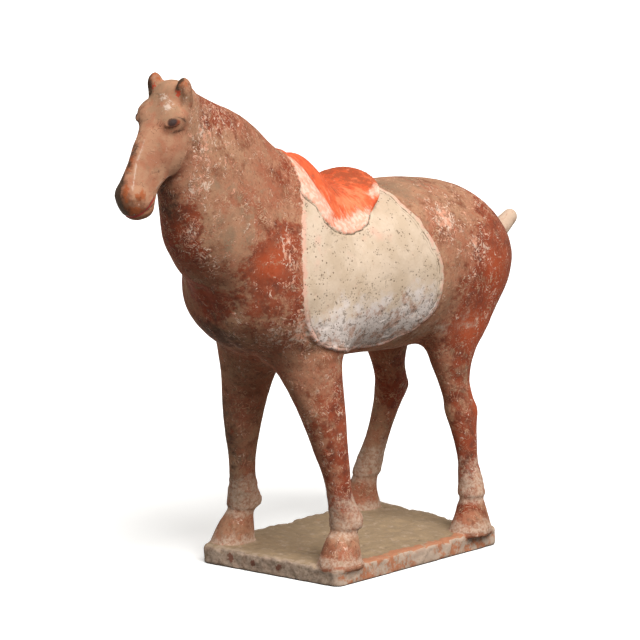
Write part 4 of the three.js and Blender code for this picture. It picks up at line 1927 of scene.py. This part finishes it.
@dataclass(frozen=True)
class PlinthDust(Layer):
    """The plinth's dusty top, its sides with their slip and bare clay, and a painted shadow line along its
    foot.
    """

    dust: Colour = tint(153, 129, 100)
    olive: Colour = tint(146, 124, 98)
    clay: Colour = tint(176, 114, 82)
    slip: Colour = tint(186, 162, 142)
    blot: Colour = tint(124, 74, 56)
    ash: Colour = tint(150, 128, 110)
    # Painted shadow along the plinth's foot, where it meets the floor.
    dark: Colour = tint(60, 44, 36)

    def lay(self, bench: Bench, under: Coat) -> Coat:
        """Lays the plinth's finish.

        Args:
            bench: Where the nodes go.
            under: The coat so far.

        Returns:
            The coat with this layer on it.
        """
        b = bench
        slab = b.edge(b.plus(b.mark("slab"), b.spread(b.noise(6, 61, 4), -1.6, 1.6)), -0.8, 0.8)
        brushed = b.noise(7, 62, 5, 0.65, (0.5, 2.4, 1.0), 0.4)
        top = b.mix(b.edge(brushed, 0.4, 0.64), self.dust, self.olive)
        dusty = b.raised(b.noise(9, 63, 7, 0.75), "border", 0.16)
        top = b.mix(b.part(dusty, 0.58, 0.72, 0.55), top, self.slip)
        top = b.mix(b.part(b.noise(7, 73, 6, 0.7), 0.57, 0.72, 0.5), top, self.ash)
        strip = b.raised(b.noise(13, 64, 5, 0.6), "strip", 0.32)
        top = b.mix(b.part(strip, 0.66, 0.8, 0.85), top, self.clay)
        wall = b.mix(b.edge(b.noise(10, 65, 6, 0.7), 0.46, 0.58), self.slip, self.clay)
        wall = b.mix(b.times(b.mark("bare_patch"), 0.9), wall, self.slip)
        front = b.mix(b.edge(b.noise(5, 66, 6, 0.7), 0.44, 0.6), self.slip, self.ash)
        wall = b.mix(b.times(b.mark("front"), 0.9), wall, front)
        blot = b.raised(b.noise(4, 70, 4), "blot", 0.5)
        wall = b.mix(b.part(blot, 0.72, 0.84, 0.85), wall, self.blot)
        wall = b.mix(b.part(b.noise(4, 67, 6, 0.7), 0.54, 0.68, 0.7), wall, self.olive)
        colour = b.mix(b.edge(b.mark("wall"), 0.35, 0.65), top, wall)
        # Painted shadow: a dark line along the plinth's foot, where it meets the floor.
        colour = b.mix(b.edge(b.mark("foot"), 0.4, 0.8), colour, self.dark)
        height = b.plus(b.times(brushed, 0.5), b.times(b.noise(3, 68, 4, 0.6), 0.35))
        return Coat(
            b.mix(slab, under.colour, colour), b.between(slab, under.rough, 0.95),
            b.between(slab, under.height, height),
        )


@dataclass(frozen=True)
class TailSlip(Layer):
    """The tail's cream slip."""

    cream: Colour = tint(206, 180, 156)
    clay: Colour = tint(172, 122, 98)

    def lay(self, bench: Bench, under: Coat) -> Coat:
        """Lays the slip over the tail's outer half.

        Args:
            bench: Where the nodes go.
            under: The coat so far.

        Returns:
            The coat with this layer on it.
        """
        b = bench
        share = b.edge(b.plus(b.mark("stub"), b.spread(b.noise(6, 71, 4), -0.4, 0.4)), 0.35, 0.65)
        streak = b.noise(4, 72, 6, 0.7, (1.4, 0.6, 0.6))
        cream = b.mix(b.part(streak, 0.5, 0.7, 0.6), self.cream, self.clay)
        return under.over(b, b.times(share, 0.92), cream, 0.9, 0.1)


@dataclass(frozen=True)
class Finish:
    """Every layer of the painted clay, from the body out."""

    body: BodyPaint = BodyPaint()
    layers: tuple[Layer, ...] = (
        Flakes(), Crust(), HeadPaint(), TailSlip(), ClothSlip(), SaddlePaint(), PlinthDust(),
    )

    def material(self) -> bpy.types.Material:
        """Lays every layer in one material.

        Returns:
            The material of the fired and painted clay.
        """
        made = bpy.data.materials.new("painted_clay")
        bench = Bench(made)
        coat = self.body.lay(bench)
        for layer in self.layers:
            coat = layer.lay(bench, coat)
        grit = bench.plus(bench.times(bench.noise(1.6, 81, 3, 0.6), 0.22), coat.height)
        bump = bench.node("ShaderNodeBump", {"Height": grit, "Strength": 0.85, "Distance": 0.001})
        feeds = {"Base Color": coat.colour, "Roughness": coat.rough, "Normal": bump.outputs[0]}
        shader = bench.node("ShaderNodeBsdfPrincipled", feeds)
        shader.inputs["Specular IOR Level"].default_value = 0.22
        out = bench.node("ShaderNodeOutputMaterial", {"Surface": shader.outputs[0]})
        out.is_active_output = True
        return made


@dataclass(frozen=True)
class Marks:
    """Where each layer lies: values kept at the mesh's points, from named parts and soft patches."""

    red: tuple[Patch, ...] = patches(
        (50, -160, 284, 26, 19, 16, 1.25), (49, -138, 304, 14, 16, 14, 0.8),
        (4, -226, 312, 18, 14, 38, 0.9), (-2, -187, 250, 20, 16, 24, 0.8),
        (15, -120, 352, 14, 24, 12, 0.6), (64, 99, 239, 18, 20, 26, 0.8), (60, 72, 185, 14, 20, 30, 0.7),
        (58, 70, 60, 14, 22, 40, 0.6), (38, 121, 238, 40, 34, 52, 0.8), (45, 102, 190, 30, 26, 42, 1.0),
        (52, 92, 122, 14, 18, 40, 0.6), (58, -84, 128, 14, 16, 34, 0.6), (42, -84, 152, 22, 22, 28, 0.8),
        (57, -76, 70, 16, 16, 20, 0.9), (46, 99, 105, 16, 16, 32, 0.8), (8, -187, 412, 20, 28, 24, 0.5),
        (-42, 98, 130, 16, 16, 34, 0.8), (40, -150, 250, 40, 40, 22, 0.5),
        (-45, -150, 290, 35, 40, 40, 0.6), (-45, 100, 230, 35, 50, 60, 0.6),
    )
    grey: tuple[Patch, ...] = patches(
        (40, -189, 318, 34, 22, 30, 1.0), (26, -208, 358, 18, 18, 20, 0.5),
        (62, 44, 215, 14, 20, 26, 0.6), (40, -189, 248, 30, 26, 18, 0.5), (10, 36, 312, 46, 40, 14, 1.1),
        (-58, -85, 100, 22, 30, 90, 0.9), (-55, 85, 90, 22, 32, 80, 0.7), (42, -85, 192, 26, 24, 14, 0.7),
        (50, 80, 140, 16, 12, 40, 0.6),
    )
    # Painted shade under the jaw, under the breast and the belly and inside the far foreleg, with a weak
    # darkening on the near hind leg and two small dark spots.
    dark: tuple[Patch, ...] = patches(
        (0, -240, 332, 24, 14, 34, 0.8), (-6, -170, 218, 26, 16, 16, 0.9), (58, 78, 75, 12, 18, 34, 0.4),
        (-55, -84, 135, 20, 26, 60, 0.9), (0, -165, 200, 50, 44, 14, 0.6), (0, 0, 172, 60, 120, 10, 0.6),
        (62, 62, 291, 6, 4, 3, 1.1), (48, -196, 290, 5, 4, 4, 0.9),
    )
    flake: tuple[Patch, ...] = patches(
        (24, -216, 392, 16, 14, 44, 0.9), (22, -222, 356, 16, 14, 9, 1.1),
        (16, -223, 315, 12, 10, 14, 1.2), (58, -124, 262, 10, 8, 40, 0.8),
        (60, -122, 226, 12, 14, 14, 1.0), (52, -142, 296, 16, 9, 22, 1.3),
        (20, -209, 290, 20, 14, 14, 0.8), (45, -138, 222, 34, 36, 18, 1.1),
        (54, 54, 287, 20, 17, 15, 1.7), (62, 86, 260, 20, 15, 17, 1.3), (42, -84, 150, 22, 22, 32, 0.9),
        (15, 98, 294, 26, 26, 12, 0.8), (12, -190, 405, 18, 36, 28, 0.9), (50, 100, 190, 24, 28, 36, 0.5),
        (-30, -200, 360, 24, 30, 50, 0.6), (-55, 70, 270, 24, 40, 30, 0.8),
    )
    ochre: tuple[Patch, ...] = patches(
        (13, -282, 357, 4.5, 5.5, 5, 1.3), (4, -290, 359, 3.5, 4, 9, 1.2), (8, -286, 344, 8, 8, 5, 1.4),
        (0, -281, 380, 3.5, 8, 20, 0.9), (-12, -240, 424, 8, 8, 7, 0.8), (17, -234, 446, 7, 7, 6, 0.9),
        (-15, -235, 446, 7, 6, 8, 0.8),
    )
    # Painted shade on the head's far side, the far brow, the muzzle's far side and the front plane left of the
    # nose ridge, with small dark spots at the near nostril, the near eye and the ears.
    tar: tuple[Patch, ...] = patches(
        (-7, -290, 357, 8, 9, 13, 1.6), (-3, -288, 343, 9, 7, 6, 1.1), (-17, -264, 396, 7, 20, 30, 0.8),
        (-1, -276, 382, 5, 16, 28, 0.75), (-24, -244, 419, 6, 10, 11, 1.6),
        (13.5, -237, 446, 3, 4, 8, 1.2), (-19, -235, 444, 4, 6, 12, 1.3), (14, -284, 357, 2, 2, 2, 0.8),
        (27, -240, 411, 3, 4, 3, 0.5), (18, -246, 408, 4, 7, 2.5, 0.75),
        (15, -236, 449.5, 3.5, 5, 2.5, 1.0),
    )
    scarlet: tuple[Patch, ...] = patches(
        (15, -238, 438, 3, 3, 3.2, 1.0), (-13, -238, 440, 3, 3, 4, 0.9),
    )
    chalk: tuple[Patch, ...] = patches(
        (11, -246, 427, 4, 5, 5.5, 1.15), (3, -243, 434, 6, 5, 6, 0.7), (20, -234, 436, 3, 3, 4, 0.9),
        (-9, -240, 428, 3, 3, 3, 0.7), (-9, -238, 447, 3, 3, 6, 0.8),
    )
    faint: tuple[Patch, ...] = patches(
        (28, -105, 344, 7, 7, 12, 0.9), (40, -104, 331, 9, 9, 10, 1.6), (24, -94, 347, 7, 8, 11, 0.85),
        (17, -99, 357, 6, 7, 6, 0.8), (27, -111, 349, 5, 4, 10, 1.3), (32, -89, 338, 8, 7, 8, 0.9),
        (38, -87, 329, 8, 9, 8, 1.0), (46, -90, 320, 9, 12, 10, 1.2), (52, -68, 301, 9, 22, 10, 1.4),
        (46, -40, 303, 9, 14, 9, 1.1), (36, -13, 320, 7, 7, 12, 1.1), (-40, -85, 322, 14, 26, 18, 0.9),
    )
    glow: tuple[Patch, ...] = patches(
        (33, -46, 315, 12, 18, 10, 1.0), (20, -24, 320, 12, 12, 10, 0.6), (18, -98, 356, 6, 6, 6, 0.8),
        (36, -80, 326, 8, 12, 8, 0.7),
    )
    flush: tuple[Patch, ...] = patches(
        (50, -30, 288, 12, 18, 10, 0.9), (56, -110, 262, 10, 8, 34, 0.5), (52, -98, 306, 8, 10, 10, 0.6),
    )
    blots: Triple = (-42, -16, 10)
    fan_samples: int = 120
    layers: tuple[str, ...] = (
        "red", "grey", "dark", "flake", "ochre", "tar", "scarlet", "chalk", "faint", "glow", "flush",
    )

    def measure(self, figure: Figure, p: Array, normals: Array) -> dict[str, Array]:
        """Works out every mark.

        Args:
            figure: The shaped figure.
            p: The mesh's points, in millimetres.
            normals: Their outward directions.

        Returns:
            The marks by name.
        """
        marks = {name: sum(patch.on(p) for patch in getattr(self, name)) for name in self.layers}
        trunk = Fan(figure.trunk.rings, figure.trunk.domes, self.fan_samples).on(p)
        legs = np.min([leg.mass().on(p) for leg in figure.legs], axis=0)
        bare = np.minimum(trunk, legs)
        marks |= self._slips(figure, p, trunk, bare)
        marks |= self._saddlery(figure, p, bare)
        marks |= self._face(figure.head, p, trunk)
        marks |= self._slab(figure.plinth, p, normals, legs)
        return marks

    def _slips(
        self, figure: Figure, p: Array, trunk: Array, bare: Array,
    ) -> dict[str, Array]:
        """Works out where the pale crust and the tail's slip lie.

        Args:
            figure: The shaped figure.
            p: The mesh's points.
            trunk: Distances to the barrel and neck.
            bare: Distances to the barrel, neck and legs.

        Returns:
            The marks by name.
        """
        _, y, z = p.T
        fetlock = smooth(z, 34, 42) * (1 - smooth(z, 60, 92))
        hoof = smooth(z, 26, 18) * (z > 15) * smooth(bare, 9, 3)
        belly = bell(z, 195, 12) * (np.abs(y) < 90)
        return {
            "pale": 1.1 * fetlock + 0.9 * hoof + 0.6 * smooth(z, 36, 24) * (z > 17) + 0.7 * belly,
            "stub": smooth(trunk - figure.tail.mass().on(p), 1, 8) * (y > 150),
        }

    def _saddlery(self, figure: Figure, p: Array, bare: Array) -> dict[str, Array]:
        """Works out where the cloth, the flaps and the saddle lie.

        Args:
            figure: The shaped figure.
            p: The mesh's points.
            bare: Distances to the barrel, neck and legs.

        Returns:
            The marks by name.
        """
        _, y, z = p.T
        covers = figure.cloth
        cloth, flap = covers.within(y, z)
        laid = np.where(flap > 0, covers.flap_thickness, np.where(cloth > 0, covers.cloth_thickness, 0))
        seat = bare - laid - figure.saddle.mass().on(p)
        return {
            "cloth": np.clip(cloth, -30, 60),
            "flap": np.clip(flap, -30, 30),
            "seat": np.clip(seat, -12, 12),
            "seam": smooth(z, 342, 334),
            "hem": smooth(z, *covers.hem_heights),
            "rear": smooth(y, -20, 5) * smooth(z, *covers.rear_heights),
            "rim": smooth(z, 318, 328) * smooth(y, -66, -50),
        }

    def _face(self, head: Head, p: Array, trunk: Array) -> dict[str, Array]:
        """Works out where the head's finish, its eyes and its drawn lines lie.

        Args:
            head: The shaped head.
            p: The mesh's points.
            trunk: Distances to the barrel and neck.

        Returns:
            The marks by name.
        """
        _, y, z = p.T
        mass = head.mass()
        away = mass.on(p)
        on_head = smooth(trunk - away, -2, 6) * smooth(away, 6, 3)
        lids = np.minimum(head.upper_lid.on(p), head.lower_lid.on(p))
        # The light mark is a painted highlight along the upper lip, the nose ridge and the jaw line.
        bright = (head.upper_lip, head.nose_ridge, head.jaw_line)
        return {
            "head": on_head,
            "eye": -np.minimum(*(egg.on(p) for egg in both(head.eyeball))),
            "pupil": -np.minimum(*(egg.on(p) for egg in both(head.pupil))),
            "lid": smooth(lids, 1.6, 0.5),
            "light": sum(smooth(line.on(p), 0.9, 0.2) for line in bright),
            "muzzle": on_head * smooth(mass.place(y, z)[0], 208, 246),
            "forehead": on_head * smooth(z, 408, 426),
            "lip": smooth(head.lip.on(p), 1.9, 0.8),
        }

    def _slab(
        self, plinth: Plinth, p: Array, normals: Array, legs: Array,
    ) -> dict[str, Array]:
        """Works out where the plinth's dust, slip and bare clay lie.

        Args:
            plinth: The shaped slab.
            p: The mesh's points.
            normals: Their outward directions.
            legs: Distances to the legs.

        Returns:
            The marks by name.
        """
        x, y, z = p.T
        border = plinth.distance(x, y, np.full_like(z, plinth.thickness / 2))
        return {
            "slab": legs - plinth.distance(x, y, z),
            "wall": 1 - smooth(normals[:, 2], 0.45, 0.8),
            "border": smooth(border, -12, -2),
            "strip": smooth(x, 58, 68),
            "front": smooth(-y, 100, 104),
            "bare_patch": np.exp(-(((y - 8) / 13) ** 6)) * (x > 60) * (1 - smooth(z, 14, 16)),
            "blot": sum(np.exp(-(((x - at) ** 2 + (z - 8) ** 2) / 16)) for at in self.blots) * (y < -95),
            # The foot mark places the painted shadow line along the plinth's foot.
            "foot": smooth(z, 1.4, 0.5),
        }


@dataclass(frozen=True)
class Studio:
    """The pale floor, the soft light and the camera at the photograph's angle."""

    target: Triple = (-0.0505, 0.0138, 0.1916)
    azimuth: float = math.radians(41.6)
    elevation: float = math.radians(12.9)
    view_width: float = 0.5405
    distance: float = 20.0
    film: float = 36.0
    floor_size: float = 60.0
    key_from: Triple = (0.66, -0.20, 0.84)
    key_strength: float = 3.7
    key_softness: float = math.radians(40)
    sky_strength: float = 0.50
    ground_strength: float = 0.10
    floor_glow: float = 0.32
    horizon: Pair = (-0.15, 0.35)
    white: Colour = tint(250, 249, 247)

    def back(self) -> Vector:
        """The direction from the object to the camera."""
        a, e = self.azimuth, self.elevation
        return Vector((math.sin(a) * math.cos(e), -math.cos(a) * math.cos(e), math.sin(e)))

    def build(self) -> None:
        """Sets up the floor, the light and the camera."""
        self._floor()
        self._light()
        self._camera()

    def _floor(self) -> None:
        """Lays the floor at the plinth's underside."""
        mesh = bpy.data.meshes.new("floor")
        s = self.floor_size / 2
        mesh.from_pydata([(-s, -s, 0), (s, -s, 0), (s, s, 0), (-s, s, 0)], [], [(0, 1, 2, 3)])
        floor = bpy.data.objects.new("floor", mesh)
        bpy.context.scene.collection.objects.link(floor)
        paper = bpy.data.materials.new("floor_paper")
        bench = Bench(paper)
        shader = bench.node("ShaderNodeBsdfPrincipled", {"Base Color": self.white})
        shader.inputs["Roughness"].default_value = 1.0
        shader.inputs["Specular IOR Level"].default_value = 0.0
        shader.inputs["Emission Color"].default_value = self.white
        shader.inputs["Emission Strength"].default_value = self.floor_glow
        bench.node("ShaderNodeOutputMaterial", {"Surface": shader.outputs[0]})
        mesh.materials.append(paper)
        floor.visible_diffuse = False
        floor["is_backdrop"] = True

    def _light(self) -> None:
        """One broad soft light from above the horse's left side, and an even sky."""
        sun = bpy.data.lights.new("softbox", "SUN")
        sun.energy, sun.angle = self.key_strength, self.key_softness
        lamp = bpy.data.objects.new("softbox", sun)
        lamp.rotation_euler = Vector(self.key_from).to_track_quat("Z", "Y").to_euler()
        bpy.context.scene.collection.objects.link(lamp)
        world = bpy.data.worlds.new("studio")
        bench = Bench(world)
        way = bench.node("ShaderNodeTexCoord").outputs["Generated"]
        rise = bench.node("ShaderNodeSeparateXYZ", {0: way}).outputs["Z"]
        bright = bench.spread(bench.edge(rise, *self.horizon), self.ground_strength, self.sky_strength)
        sky = bench.node("ShaderNodeBackground", {"Color": self.white, "Strength": bright})
        bench.node("ShaderNodeOutputWorld", {"Surface": sky.outputs[0]})
        bpy.context.scene.world = world
        bpy.context.scene.view_settings.view_transform = "Standard"

    def _camera(self) -> None:
        """A long lens, so that the view is as flat as the photograph's."""
        lens = bpy.data.cameras.new("camera")
        lens.lens = self.film * self.distance / self.view_width
        lens.sensor_width = self.film
        lens.clip_end = 10 * self.distance
        camera = bpy.data.objects.new("camera", lens)
        camera.location = Vector(self.target) + self.back() * self.distance
        camera.rotation_euler = self.back().to_track_quat("Z", "Y").to_euler()
        bpy.context.scene.collection.objects.link(camera)
        bpy.context.scene.camera = camera


def main() -> None:
    """Loads the frame, builds and finishes the horse, and sets up the studio."""
    logging.basicConfig(level=logging.INFO, format="%(message)s")
    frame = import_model()
    cad_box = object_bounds()
    log.info("frame has %d node(s)", len(frame["nodes"]))
    piece = Figure().build(cad_box, CELL)
    piece.data.materials.append(Finish().material())
    log.info("%s: %d faces", piece.name, len(piece.data.polygons))
    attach(piece, "root")
    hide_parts("pottery_horse")
    Studio().build()


if __name__ == "__main__":
    main()
